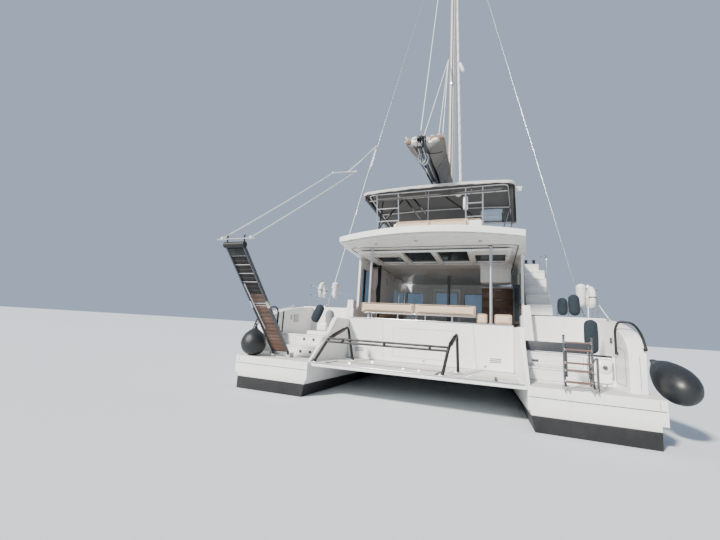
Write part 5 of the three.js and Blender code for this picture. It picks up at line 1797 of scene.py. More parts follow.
@dataclass
class Bimini:
    """The canvas canopy over the flybridge and its tube frame.

    Attributes:
        aft: Y of its aft edge.
        front: Y of its front edge.
        half: half its width at the aft edge.
        front_half: half its width at the front edge.
        edge: height of its edge.
        crown: how much higher its middle is.
        bows: Y of the tubes that cross below it.
    """

    aft: float = 2.32
    front: float = 5.65
    half: float = 1.95
    front_half: float = 2.18
    edge: float = 5.105
    crown: float = 0.07
    bows: tuple[float, ...] = (2.44, 4.10, 5.53)
    bend: float = 0.18

    def build(self) -> None:
        """Makes the frame and the canvas."""
        self.frame()
        self.struts()
        self.canvas()

    def height(self, x: float, y: float) -> float:
        """Height of the canvas, which sags a little between the bows.

        Args:
            x: distance off the centreline.
            y: distance forward of the transoms.

        Returns:
            The height.
        """
        share = (y - self.aft) / (self.front - self.aft)
        wide = self.half + (self.front_half - self.half) * share
        sag = 0.0
        for low, high in zip(self.bows, self.bows[1:]):
            if low < y < high:
                sag = 0.028 * math.sin(math.pi * (y - low) / (high - low))
        return self.edge + (self.crown - sag) * (1 - min(1.0, abs(x) / wide) ** 2.4)

    def outline(self, u: float, v: float) -> tuple[float, float]:
        """Place in plan of a grid point of the canvas, whose corners are round.

        Args:
            u: share across, from -1 at port to 1 at starboard.
            v: share along, from -1 aft to 1 in front.

        Returns:
            X and Y.
        """
        length = (self.front - self.aft) / 2
        y = (self.aft + self.front) / 2 + length * v
        wide = self.half + (self.front_half - self.half) * (v + 1) / 2
        into = max(0.0, (abs(v) - (1 - self.bend / length)) / (self.bend / length))
        wide -= self.bend * (1 - math.sqrt(max(0.0, 1 - into * into)))
        return u * wide, y

    def canvas(self) -> None:
        """The stretched canvas with its valance, clear patch, seams and piping."""
        part = bmesh.new()
        bmesh.ops.create_grid(part, x_segments=70, y_segments=56, size=1)
        for spot in part.verts:
            u, v = spot.co.x, math.sin(spot.co.y * math.pi / 2)
            x, y = self.outline(u, v)
            ripple = 0.004 * math.sin(x * 21 + y * 3) * min(1.0, abs(u) ** 6 + abs(v) ** 6)
            spot.co = Vector((x, y, self.height(x, y) + ripple))
        rim = [e for e in part.edges if e.is_boundary]
        valance = bmesh.ops.extrude_edge_only(part, edges=rim)
        low = [g for g in valance["geom"] if isinstance(g, bmesh.types.BMVert)]
        for spot in low:
            spot.co.z -= 0.062 + 0.006 * math.sin(spot.co.x * 9 + spot.co.y * 7)
        bmesh.ops.recalc_face_normals(part, faces=part.faces)
        cloth = Shape().take(part, CANVAS)
        cloth.finishes += [CLEAR_VINYL, EDGING]
        for face in cloth.mesh.faces:
            middle = face.calc_center_median()
            if 1.11 < middle.x < 1.72 and 4.35 < middle.y < 5.55:
                face.material_index = 1
            elif middle.z < self.height(middle.x, middle.y) - 0.02:
                face.material_index = 2
        piece = cloth.build("bimini_canvas", BOAT, "bimini_top", angle=180)
        thick = piece.modifiers.new("cloth", "SOLIDIFY")
        thick.thickness, thick.offset = 0.004, 0.0
        trim = Shape()
        ring = [self.outline(u, -1) for u in np.linspace(-1, 1, 30)]
        ring += [self.outline(1, math.sin(v * math.pi / 2)) for v in np.linspace(-1, 1, 40)[1:]]
        ring += [self.outline(u, 1) for u in np.linspace(1, -1, 30)[1:]]
        ring += [self.outline(-1, math.sin(v * math.pi / 2)) for v in np.linspace(1, -1, 40)[1:-1]]
        trim.tube([(x, y, self.height(x, y) + 0.003) for x, y in ring], 0.011, WHITE_COVER, closed=True)
        for y in (self.bows[1], 3.2, 4.9):
            line = [(x, y, self.height(x, y) + 0.001) for x in np.linspace(-2.0, 2.0, 41)]
            trim.tube(line, 0.005, CANVAS, sides=2)
        window = [(1.10, 4.34), (1.73, 4.34), (1.73, 5.56), (1.10, 5.56)]
        for low_spot, high_spot in zip(window, window[1:] + window[:1]):
            line = [(a, b, self.height(a, b) - 0.002) for a, b in zip(np.linspace(low_spot[0], high_spot[0], 9),
                                                                    np.linspace(low_spot[1], high_spot[1], 9))]
            trim.tube(line, 0.012, CANVAS, squash=0.4)
        piping = trim.build("bimini_piping", BOAT)

    def frame(self) -> None:
        """Hoop, bows, ladder-like legs and side struts of stainless tube."""
        z = self.edge - 0.026
        tubes = Shape()
        hoop = [(0, 2.44, z), (1.8, 2.44, z), (2.03, 5.53, z), (-2.03, 5.53, z), (-1.8, 2.44, z), (0, 2.44, z)]
        tubes.tube(bent_path(hoop, 0.16), 0.019, STEEL, sides=4)
        arch = [(x, 4.1, z + 0.05 * (1 - (x / 1.92) ** 2)) for x in np.linspace(-1.92, 1.92, 25)]
        tubes.tube(arch, 0.017, STEEL, sides=4)
        foot_y, foot_z = 2.76, 3.56
        for pair in ((-1.56, -0.95), (0.81, 1.22)):
            for x in pair:
                tubes.tube([(x, foot_y, foot_z), (x, 2.44, z)], 0.019, STEEL, sides=4)
                tubes.flange((x, foot_y, foot_z), (0.045, 0.008, 0.026, 0.02), STEEL)
            for share in (0.3, 0.52, 0.74):
                y, height = foot_y + (2.44 - foot_y) * share, foot_z + (z - foot_z) * share
                tubes.tube([(pair[0], y, height), (pair[1], y, height)], 0.014, STEEL)
        for side in (-1, 1):
            tubes.tube([(side * 1.85, 5.33, foot_z), (side * 2.03, 5.53, z)], 0.018, STEEL, sides=4)
            tubes.tube([(side * 1.56, foot_y, foot_z), (side * 1.92, 4.1, z)], 0.017, STEEL, sides=4)
            tubes.ball((side * 1.92, 4.1, z), 0.03, STEEL)
        tubes.tube([(-1.80, 2.52, z - 0.14), (1.80, 2.52, z - 0.14)], 0.012, STEEL)
        tubes.tube([(-0.13, 2.5, foot_z), (-0.13, 2.46, z)], 0.009, STEEL)
        tubes.build("bimini_tubes", BOAT, "bimini_frame")

    def struts(self) -> None:
        """Dark straps below the canvas, the rolled side screens and the white fittings."""
        gear = Shape()
        lines = (((0.25, 2.9, 5.05), (1.16, 3.4, 4.45)), ((-0.93, 2.9, 5.06), (-1.56, 2.79, 4.25)),
                 ((-0.85, 2.8, 5.06), (-0.36, 2.65, 4.36)), ((-0.62, 2.8, 5.06), (-0.22, 2.65, 4.50)),
                 ((-1.52, 2.9, 5.06), (-1.75, 3.3, 4.3)))
        for start, end in lines:
            gear.tube([start, end], 0.024, BLACK)
        gear.tube([(-1.55, 2.46, 4.93), (1.65, 2.46, 4.96)], 0.028, CANVAS)
        gear.tube([(-1.94, 2.6, 5.04), (-2.05, 5.4, 5.04)], 0.04, CANVAS)
        gear.tube([(1.88, 2.6, 5.04), (2.03, 5.4, 5.04)], 0.035, CANVAS)
        for y in (2.5, 2.6, 2.7):
            gear.box((1.98, y - 0.016, 4.98), (2.12, y + 0.016, 5.01), WHITE_COVER, 0.01)
        gear.box((0.74, 2.55, 4.55), (0.86, 2.68, 4.9), WHITE, 0.03, segments=3)
        gear.ball((0.62, 2.6, 4.96), (0.07, 0.05, 0.05), WHITE)
        for x in (-1.5, -0.9, -0.2, 0.4, 0.95, 1.5):
            gear.box((x - 0.012, 2.425, 4.90), (x + 0.012, 2.455, 5.08), SEAM, 0.003)
        gear.build("bimini_straps", BOAT)


@dataclass
class Rig:
    """Mast, shrouds, forestay, furled headsail and the lines that stay up.

    Attributes:
        foot: foot of the mast.
        length: length of the mast.
        rake: how far it leans aft.
        section: half width and half depth of its section.
        hounds: where the stays meet it.
        stay_top: upper end of the forestay.
        stay_foot: lower end of the forestay.
        chainplate: foot of the starboard shroud.
    """

    foot: Place = (0.0, 6.2, 3.57)
    length: float = 16.75
    rake: float = math.radians(1)
    section: tuple[float, float] = (0.105, 0.165)
    hounds: Place = (0.0, 5.932, 18.9)
    stay_top: Place = (0.0, 6.137, 18.9)
    stay_foot: Place = (0.0, 12.5, 2.092)
    chainplate: Place = (3.59, 3.9, 1.945)

    def build(self) -> None:
        """Makes the pieces."""
        self.mast()
        self.stays()
        self.headsail()
        self.lines()

    def mast(self) -> None:
        """The mast with its track, seams, winches, lights and masthead."""
        mast = Shape()
        tube = bmesh.new()
        bmesh.ops.create_cone(tube, cap_ends=True, segments=40, radius1=1, radius2=1, depth=self.length)
        bmesh.ops.scale(tube, vec=(*self.section, 1), verts=tube.verts)
        mast.take(tube, ALLOY, Matrix.Translation((0, 0, self.length / 2)))
        back = -self.section[1]
        mast.box((-0.022, back - 0.014, 0.9), (0.022, back + 0.01, self.length - 0.3), DARK_ALLOY_AND_PAINTED_SHADE, 0.004)
        mast.box((-0.006, back - 0.016, 0.9), (0.006, back - 0.010, self.length - 0.3), SEAM, 0.001)
        for side in (-1, 1):
            x = side * 0.072
            mast.box((x - 0.006, back + 0.045, 0.3), (x + 0.006, back + 0.055, self.length - 0.4), SEAM, 0.002)
            for height in (1.35, 1.62):
                profile = [(0, 0), (0.06, 0), (0.06, 0.02), (0.042, 0.04), (0.038, 0.09), (0.052, 0.12), (0, 0.125)]
                mast.turned(profile, (side * 0.098, 0.0, height), (side * 3, 0.0, height), RAW_ALLOY)
            halyard = ROPE if side > 0 else DARK_ROPE
            mast.tube([(side * 0.118, -0.03, 0.45), (side * 0.118, -0.03, 15.2)], 0.006, halyard)
            mast.box((side * 0.1 - 0.012, -0.1, 2.0), (side * 0.1 + 0.012, -0.02, 2.2), STEEL, 0.005)
        mast.box((-0.06, -0.42, self.length - 0.06), (0.06, 0.26, self.length + 0.06), RAW_ALLOY, 0.02, segments=3)
        for y in (-0.36, 0.2):
            sheave = [(0, 0), (0.06, 0), (0.06, 0.03), (0, 0.03)]
            mast.turned(sheave, (-0.015, y, self.length), (3, y, self.length), BLACK)
        for end in (-1, 1):
            z = 1.99 + end * 0.112
            mast.box((-0.045, -0.275, z - 0.012), (0.045, -0.12, z + 0.012), STEEL, 0.005)
        mast.box((-0.05, 0.15, 9.4), (0.05, 0.24, 9.5), WHITE_COVER, 0.02, segments=3)
        mast.box((-0.05, back - 0.03, 7.2), (0.05, back + 0.01, 7.32), STEEL, 0.01)
        profile = [(0, 0), (0.19, 0), (0.19, 0.02), (0.12, 0.06), (0.12, 0.02), (0, 0.02)]
        mast.turned(profile, (0, 0, 0.0), (0, 0, 9), RAW_ALLOY)
        mast.moved(Matrix.Translation(self.foot) @ Matrix.Rotation(self.rake, 4, "X"))
        reflector = [(0, 0), (0.05, 0.01), (0.062, 0.05), (0.062, 0.36), (0.05, 0.4), (0, 0.41)]
        mast.turned(reflector, (0.255, 6.06, 11.76), (0.41, 6.08, 11.36), WHITE_COVER)
        mast.tube([(0.10, 6.06, 11.86), (0.26, 6.06, 11.74)], 0.006, STEEL)
        mast.build("mast_dressed", BOAT, "mast")

    def stays(self) -> None:
        """Shrouds with their turnbuckles, the upper forestay and its fittings."""
        x, y, z = self.chainplate
        _, hy, hz = self.hounds
        stays = Shape()
        for side in (-1, 1):
            low, high = Vector((side * x, y, z)), Vector((side * 0.2, hy, hz))
            way = (high - low).normalized()
            stays.rod(low + way * 0.1, high, 0.008, STEEL)
            stays.rod(low + way * 0.16, low + way * 0.38, 0.020, STEEL)
            stays.rod(low + way * 0.12, low + way * 0.42, 0.012, STEEL)
            stays.rod(low + way * 0.42, low + way * 0.56, 0.013, STEEL, 0.009)
            stays.box((side * x - 0.012, y - 0.035, z - 0.03), (side * x + 0.012, y + 0.035, z + 0.12), STEEL, 0.01)
            stays.box((side * x - 0.06, y - 0.1, z - 0.01), (side * x + 0.06, y + 0.1, z + 0.004), STEEL, 0.004)
            stays.tube([(side * 0.10, hy, hz + 0.02), (side * 0.2, hy, hz)], 0.014, STEEL)
        top, foot = Vector(self.stay_top), Vector(self.stay_foot)
        way = (foot - top).normalized()
        stays.rod(top - way * 0.15, top + way * 0.42, 0.008, STEEL)
        stays.tube([(0.2 * c, hy + 0.2 * s, hz) for c, s in circle(32)], 0.016, STEEL, closed=True)
        stays.build("shrouds_and_forestay", BOAT, "stays")
        toggle = Shape().rod(foot - way * 0.12, foot + way * 0.005, 0.021, STEEL)
        toggle.box((-0.06, 12.44, 2.071), (0.06, 12.56, 2.10), STEEL, 0.006)
        toggle.rod((-0.03, 12.49, 2.11), (0.03, 12.49, 2.11), 0.012, STEEL)
        toggle.build("forestay_fitting", BOAT, "forestay_toggle")

    def headsail(self) -> None:
        """The headsail rolled on its foil, with the spiral edge of its cover strip, and the furling drum."""
        top, foot = Vector(self.stay_top), Vector(self.stay_foot)
        roll = [(0, 0.45), (0.022, 0.45), (0.024, 1.04), (0.031, 1.06), (0.045, 4.0), (0.060, 9.0), (0.073, 13.5),
                (0.076, 16.2), (0.068, 17.2), (0.042, 17.44), (0, 17.44)]
        sail = Shape().turned(roll, top, foot, SAIL, steps=24)
        way = (foot - top).normalized()
        side = Vector((1, 0, 0))
        third = way.cross(side)
        spiral = []
        for i in range(420):
            along = 1.2 + i * 16.1 / 419
            radius = np.interp(along, [p[1] for p in roll[2:-1]], [p[0] for p in roll[2:-1]]) + 0.001
            turn = i * 0.55
            spiral.append(top + way * along + side * radius * math.cos(turn) + third * radius * math.sin(turn))
        sail.tube(spiral, 0.006, CANVAS, sides=2)
        drum = [(0, 17.43), (0.038, 17.43), (0.038, 17.66), (0.118, 17.675), (0.118, 17.69), (0.06, 17.70),
                (0.06, 17.765), (0.118, 17.775), (0.118, 17.79), (0.036, 17.80), (0.036, 17.838), (0, 17.838)]
        sail.turned(drum, top, foot, BLACK)
        roll_piece = sail.build("rolled_headsail", "headsail", "furled_headsail", angle=30)

    def lines(self) -> None:
        """Topping lift and lazy jacks, fixed in world space."""
        head, aloft = (-0.04, 5.56, 20.30), (-0.16, 5.98, 11.95)
        lift = Shape().tube(sagging((-0.155, 1.35, 6.16), head, 0.02, 24), 0.011, ROPE)
        lift.build("topping_lift", BOAT, across=("boom_and_bag", (*head[:2], 20.25), (*head[:2], 16.5)))
        jacks = Shape().tube([aloft, (-0.07, 6.0, 12.05)], 0.012, STEEL)
        for start, sag in (((-0.25, 1.85, 6.06), 0.02), ((0.06, 2.4, 6.1), 0.01), ((0.33, 1.55, 6.02), 0.03)):
            jacks.tube(sagging(start, aloft, sag, 24), 0.011, ROPE)
        jacks.build("lazy_jacks", BOAT, across=("boom_and_bag", (*aloft[:2], 11.9), (*aloft[:2], 10.9)))


@dataclass
class BoomAndBag:
    """Boom with its fittings, the open canvas bag and the sail folded inside it.

    Attributes:
        pivot: the gooseneck.
        swing: turn to port.
        rise: how far its aft end is raised.
        length: length of the boom.
        sections: distance aft of the mast, half widths at foot and lips, and height of the lips.
        foot: height of the bag's lower edge.
    """

    pivot: Place = (0.0, 5.93, 5.56)
    swing: float = math.radians(-1.2)
    rise: float = math.radians(1.8)
    length: float = 4.85
    sections: tuple[tuple[float, float, float, float], ...] = (
        (0.30, 0.135, 0.19, 0.80), (1.70, 0.135, 0.29, 0.60), (3.30, 0.135, 0.40, 0.42), (4.45, 0.135, 0.48, 0.30))
    foot: float = -0.07

    @property
    def place(self) -> Matrix:
        """The boom's own frame, with its length along -Y."""
        turn = Matrix.Rotation(self.swing, 4, "Z") @ Matrix.Rotation(-self.rise, 4, "X")
        return Matrix.Translation(self.pivot) @ turn

    def build(self) -> None:
        """Makes the pieces."""
        self.boom()
        self.bag()
        self.folds()

    def at(self, back: float) -> tuple[float, float, float]:
        """Half widths at foot and lips, and height of the lips, at a distance aft of the mast."""
        distances = [row[0] for row in self.sections]
        return tuple(float(np.interp(back, distances, [row[i] for row in self.sections])) for i in (1, 2, 3))

    def boom(self) -> None:
        """The boom, its end cap, sheaves, blocks, reefing lines and their coiled ends."""
        boom = Shape()
        tube = bmesh.new()
        long = self.length - 0.16
        bmesh.ops.create_cone(tube, cap_ends=True, segments=36, radius1=1, radius2=1, depth=long)
        bmesh.ops.scale(tube, vec=(0.095, 0.15, 1), verts=tube.verts)
        lying = Matrix.Rotation(math.pi / 2, 4, "X")
        # The boom's dark colour is painted shade.
        boom.take(tube, DARK_ALLOY_AND_PAINTED_SHADE, Matrix.Translation((0, -0.16 - long / 2, 0)) @ lying)
        boom.rod((0, 0, -0.092), (0, 0, 0.092), 0.035, STEEL, sides=24)
        boom.box((-0.03, -0.2, -0.07), (0.03, 0, 0.07), STEEL, 0.01)
        end = -self.length
        boom.box((-0.085, end - 0.03, -0.15), (0.085, end + 0.06, 0.15), BLACK, 0.04, segments=4)
        for x in (-0.045, 0.0, 0.045):
            sheave = [(0, 0), (0.055, 0), (0.045, 0.012), (0.055, 0.024), (0, 0.024)]
            boom.turned(sheave, (x - 0.012, end - 0.035, 0.03), (3, end - 0.035, 0.03), BLACK)
        for z in (-0.13, 0.13):
            bail = [(x, end - back, z) for x, back in ((-0.03, 0.02), (-0.03, 0.08), (0.03, 0.08), (0.03, 0.02))]
            boom.tube(bail, 0.008, STEEL, bend=0.02)
        for x, finish in ((-0.045, ROPE), (0.0, DARK_ROPE), (0.045, ROPE)):
            upper = [(x, end - 0.05, 0.07), (x * 1.3, end + 0.12, 0.17), (x * 1.5, end + 0.42, 0.26)]
            lower = [(x, end - 0.06, -0.02), (x * 1.2, end + 0.1, -0.165), (x * 1.2, end + 1.6, -0.158)]
            boom.tube(upper, 0.007, finish, bend=0.05)
            boom.tube(lower, 0.006, finish, bend=0.05)
        for i in range(5):
            wide, high = 0.075 + 0.008 * i, 0.12 + 0.010 * i
            coil = [(0.02 * i - 0.03 + wide * s, end + 0.26 + 0.022 * i, -0.26 + high * c) for c, s in circle(24)]
            boom.tube(coil, 0.0095, ROPE if i % 2 else DARK_ROPE, closed=True)
        for back in (3.0, 4.2):
            boom.box((-0.03, -back - 0.06, -0.2), (0.03, -back + 0.06, -0.14), STEEL, 0.01)
            boom.ball((0, -back, -0.25), (0.03, 0.06, 0.075), BLACK)
            boom.rod((-0.025, -back, -0.25), (0.025, -back, -0.25), 0.03, RAW_ALLOY)
        boom.box((-0.098, -3.2, -0.03), (-0.09, -0.5, 0.0), SEAM, 0.002)
        boom.box((0.09, -3.2, -0.03), (0.098, -0.5, 0.0), SEAM, 0.002)
        boom.moved(self.place)
        boom.build("boom_dressed", "boom_and_bag", "boom")

    def bag(self) -> None:
        """Both canvas sides of the bag, flared to their lips, with battens, loops and a dark strap."""
        trim = Shape()
        across, down = 15, 61
        for side, word in SIDES:
            part = bmesh.new()
            bmesh.ops.create_grid(part, x_segments=across - 1, y_segments=down - 1, size=1)
            lips = []
            for spot in part.verts:
                v, s = (spot.co.x + 1) / 2, (spot.co.y + 1) / 2
                back = 0.30 + 4.17 * s
                foot, lip, high = self.at(back)
                scallop = 0.035 * abs(math.sin(math.pi * s * 4)) * v
                wave = 0.012 * math.sin(s * 47 + v * 5) * v * (1 - v) * 4 + 0.010 * math.sin(s * 19 + v * 9)
                x = foot + (lip - foot) * v ** 1.15 + wave
                spot.co = Vector((side * x, -back, self.foot + (high - self.foot - scallop) * v))
                if v > 0.999:
                    lips.append(spot.co.copy())
            bmesh.ops.recalc_face_normals(part, faces=part.faces)
            cloth = Shape().take(part, BAG)
            cloth.moved(self.place)
            nodes = ("sail_bag",) if side > 0 else ()
            piece = cloth.build(f"{word}_bag_side", "boom_and_bag", *nodes, angle=180)
            thick = piece.modifiers.new("cloth", "SOLIDIFY")
            thick.thickness, thick.offset = 0.004, 0.0
            lips.sort(key=lambda p: p.y)
            trim.tube(lips, 0.013, TAN, sides=3)
            for back in (1.3, 2.4, 3.5):
                foot, lip, high = self.at(back)
                waist = side * (foot + (lip - foot) * 0.5 + 0.008)
                batten = [(side * (foot + 0.008), -back, self.foot + 0.02), (waist, -back, (high + self.foot) / 2),
                          (side * lip, -back, high - 0.04)]
                trim.tube(batten, 0.008, BAG, sides=2)
            for back in (1.35, 2.5, 3.35, 4.4):
                foot, lip, high = self.at(back)
                trim.ball((side * lip, -back, high + 0.005), (0.022, 0.022, 0.03), STEEL)
        strap = [(0.02, -4.5, -0.10), (0.15, -4.46, -0.10), (0.30, -4.36, -0.06), (0.40, -4.2, 0.06)]
        trim.tube(strap, 0.012, BLACK, bend=0.08)
        trim.moved(self.place)
        trimming = trim.build("sail_bag_trim", "boom_and_bag")

    def folds(self) -> None:
        """The sail flaked in zigzag layers, with untidy leech ends at the aft end."""
        sail = Shape()
        squash = 0.5
        for level in range(6):
            for lane in (-1, 0, 1):
                path = []
                for i in range(34):
                    back = 0.42 + i * (3.95 + 0.02 * level) / 33
                    foot, lip, high = self.at(back)
                    share = (level + 0.5) / 6
                    wide = (foot + (lip - foot) * share) - 0.085
                    x = lane * wide * 0.72 + 0.022 * math.sin(i * 0.9 + level * 2.1 + lane)
                    z = 0.16 + (high - 0.19) * share + 0.012 * math.sin(i * 1.3 + level + lane * 2)
                    path.append(Vector((x, -back, z)))
                middle = sum((p.z for p in path)) / len(path)
                for p in path:
                    p.z = middle + (p.z - middle) / squash
                sail.tube(path, 0.078, SAIL, sides=3, squash=squash)
        for x, back, high, size in ((-0.40, 4.42, 0.31, 0.07), (-0.24, 4.40, 0.35, 0.10), (0.05, 4.36, 0.33, 0.09),
                                    (0.2, 4.40, 0.34, 0.08), (0.36, 4.42, 0.33, 0.07), (-0.1, 4.34, 0.30, 0.08)):
            finish = TAN if x > 0.1 or x < -0.3 else SAIL
            sail.ball((x, -back, high), (size, 0.12, size * 0.55), finish, Matrix.Rotation(x, 4, "Y"))
        for i, x in enumerate((-0.44, -0.02, 0.42)):
            tie = [(x, -4.36, 0.28), (x + 0.02, -4.44, 0.36), (x + 0.03 * (i - 1), -4.47, 0.43)]
            sail.tube(tie, 0.018, TAN, bend=0.03)
        sail.box((-0.06, -4.52, 0.18), (0.05, -4.40, 0.36), BLACK, 0.03, segments=3)
        sail.moved(self.place)
        piece = sail.build("folded_mainsail", "boom_and_bag", angle=180)


@dataclass
class Passerelle:
    """Folding gangway raised over the port transom, its socket and its hoist lines.

    Attributes:
        pivot: the hinge.
        half: half its width.
        length: length of its rails.
    """

    pivot: Place = (-2.885, 0.47, 0.73)
    half: float = 0.205
    length: float = 2.76

    def build(self) -> None:
        """Makes the pieces."""
        place = Matrix.Translation(self.pivot) @ Matrix.Rotation(-RAMP_TURN[0], 4, "X")
        ramp = Shape()
        inside = self.half - 0.03
        for i in range(27):
            y = -2.68 + i * 0.096
            # The upper eleven boards take the near-black copy of the wood, which is painted shade.
            ramp.box((-inside, y, -0.012), (inside, y + 0.082, 0.014), SHADED_RAMP_WOOD if i < 11 else RAMP_WOOD, 0.004)
            # White fillers in some gaps are painted light, as seen through between the boards; the others are dark
            # seams.
            gap = WHITE if i in (1, 3, 5, 7, 13) else SEAM
            ramp.box((-inside, y + 0.083, -0.011), (inside, y + 0.095, 0.006), gap, 0.001, segments=1)
        for side in (-1, 1):
            x = side * (self.half - 0.015)
            ramp.box((x - 0.015, -self.length, -0.035), (x + 0.015, -0.015, 0.035), DARK_ALLOY_AND_PAINTED_SHADE, 0.006)
            ramp.box((x - 0.008, -self.length + 0.01, 0.031), (x + 0.008, -0.03, 0.039), WHITE, 0.003)
            ramp.box((x - 0.019, -1.46, -0.04), (x + 0.019, -1.30, 0.04), STEEL, 0.006)
            ramp.flange((side * self.half, -2.72, 0), (0.05, 0.02, 0.02, 0.03), BLACK, (side * 3, -2.72, 0))
            ramp.tube([(x, -2.70, 0.03), (x, -2.80, 0.075), (x, -2.85, 0.13)], 0.014, BLACK, bend=0.02)
        ramp.rod((-self.half - 0.02, -2.72, 0), (self.half + 0.02, -2.72, 0), 0.056, BLACK, sides=24)
        ramp.rod((-0.42, -2.80, 0.075), (0.40, -2.80, 0.075), 0.013, STEEL)
        for y in (-1.4, -0.06):
            ramp.rod((-self.half, y, 0), (self.half, y, 0), 0.016, STEEL)
        ramp.box((-inside, -2.66, -0.03), (inside, -2.50, 0.018), BLACK, 0.01)
        ramp.tube([(-0.12, -0.75, -0.02), (-0.12, -1.9, -0.05)], 0.014, RAW_ALLOY)
        ramp.moved(place)
        ramp.build("gangway", "passerelle", "passerelle")
        x, y, z = self.pivot
        socket = Shape().node("passerelle_socket", STEEL)
        socket.rod((x - 0.25, y, z), (x + 0.25, y, z), 0.013, STEEL)
        for side in (-1, 1):
            socket.ball((x + side * 0.262, y, z), 0.018, STEEL)
        socket.build("gangway_socket", BOAT, "passerelle_socket", edge=0.003)
        self.hoist()

    def hoist(self) -> None:
        """The hoist lines: from the gangway's end to a spreader bar, and from there to the port shroud."""
        hoist = Shape()
        bar = [Vector((-2.758, 1.99, 5.658)), Vector((-2.352, 2.68, 5.983))]
        shroud = Vector((-2.455, 4.58, 7.80))
        ends = [Vector((-3.19, -1.362, 2.862)), Vector((-2.55, -1.362, 2.862))]
        for end, top in zip(ends, bar):
            hoist.tube(sagging(end, top, 0.02, 24), 0.012, ROPE)
            hoist.ball(top, 0.032, ROPE)
            hoist.ball(end, 0.034, ROPE)
        hoist.build("gangway_hoist_lines", BOAT,
                    across=("passerelle", (-2.665, 1.041, 4.785), (-2.87, -1.362, 2.862)))
        lines = Shape().tube(bar, 0.018, ROPE)
        lines.tube(sagging(bar[0].lerp(bar[1], 0.62), shroud, 0.01), 0.013, ROPE)
        lines.tube(sagging(bar[0].lerp(bar[1], 0.66), shroud + Vector((0, 0, 0.06)), 0.03), 0.012, ROPE)
        lines.ball(shroud, 0.04, ROPE)
        tail = Vector((-3.42, 3.93, 2.62))
        lines.tube([shroud, shroud.lerp(tail, 0.5), tail], 0.013, ROPE)
        lines.ball(tail, 0.03, ROPE)
        lines.build("hoist_bar_and_tail", BOAT)


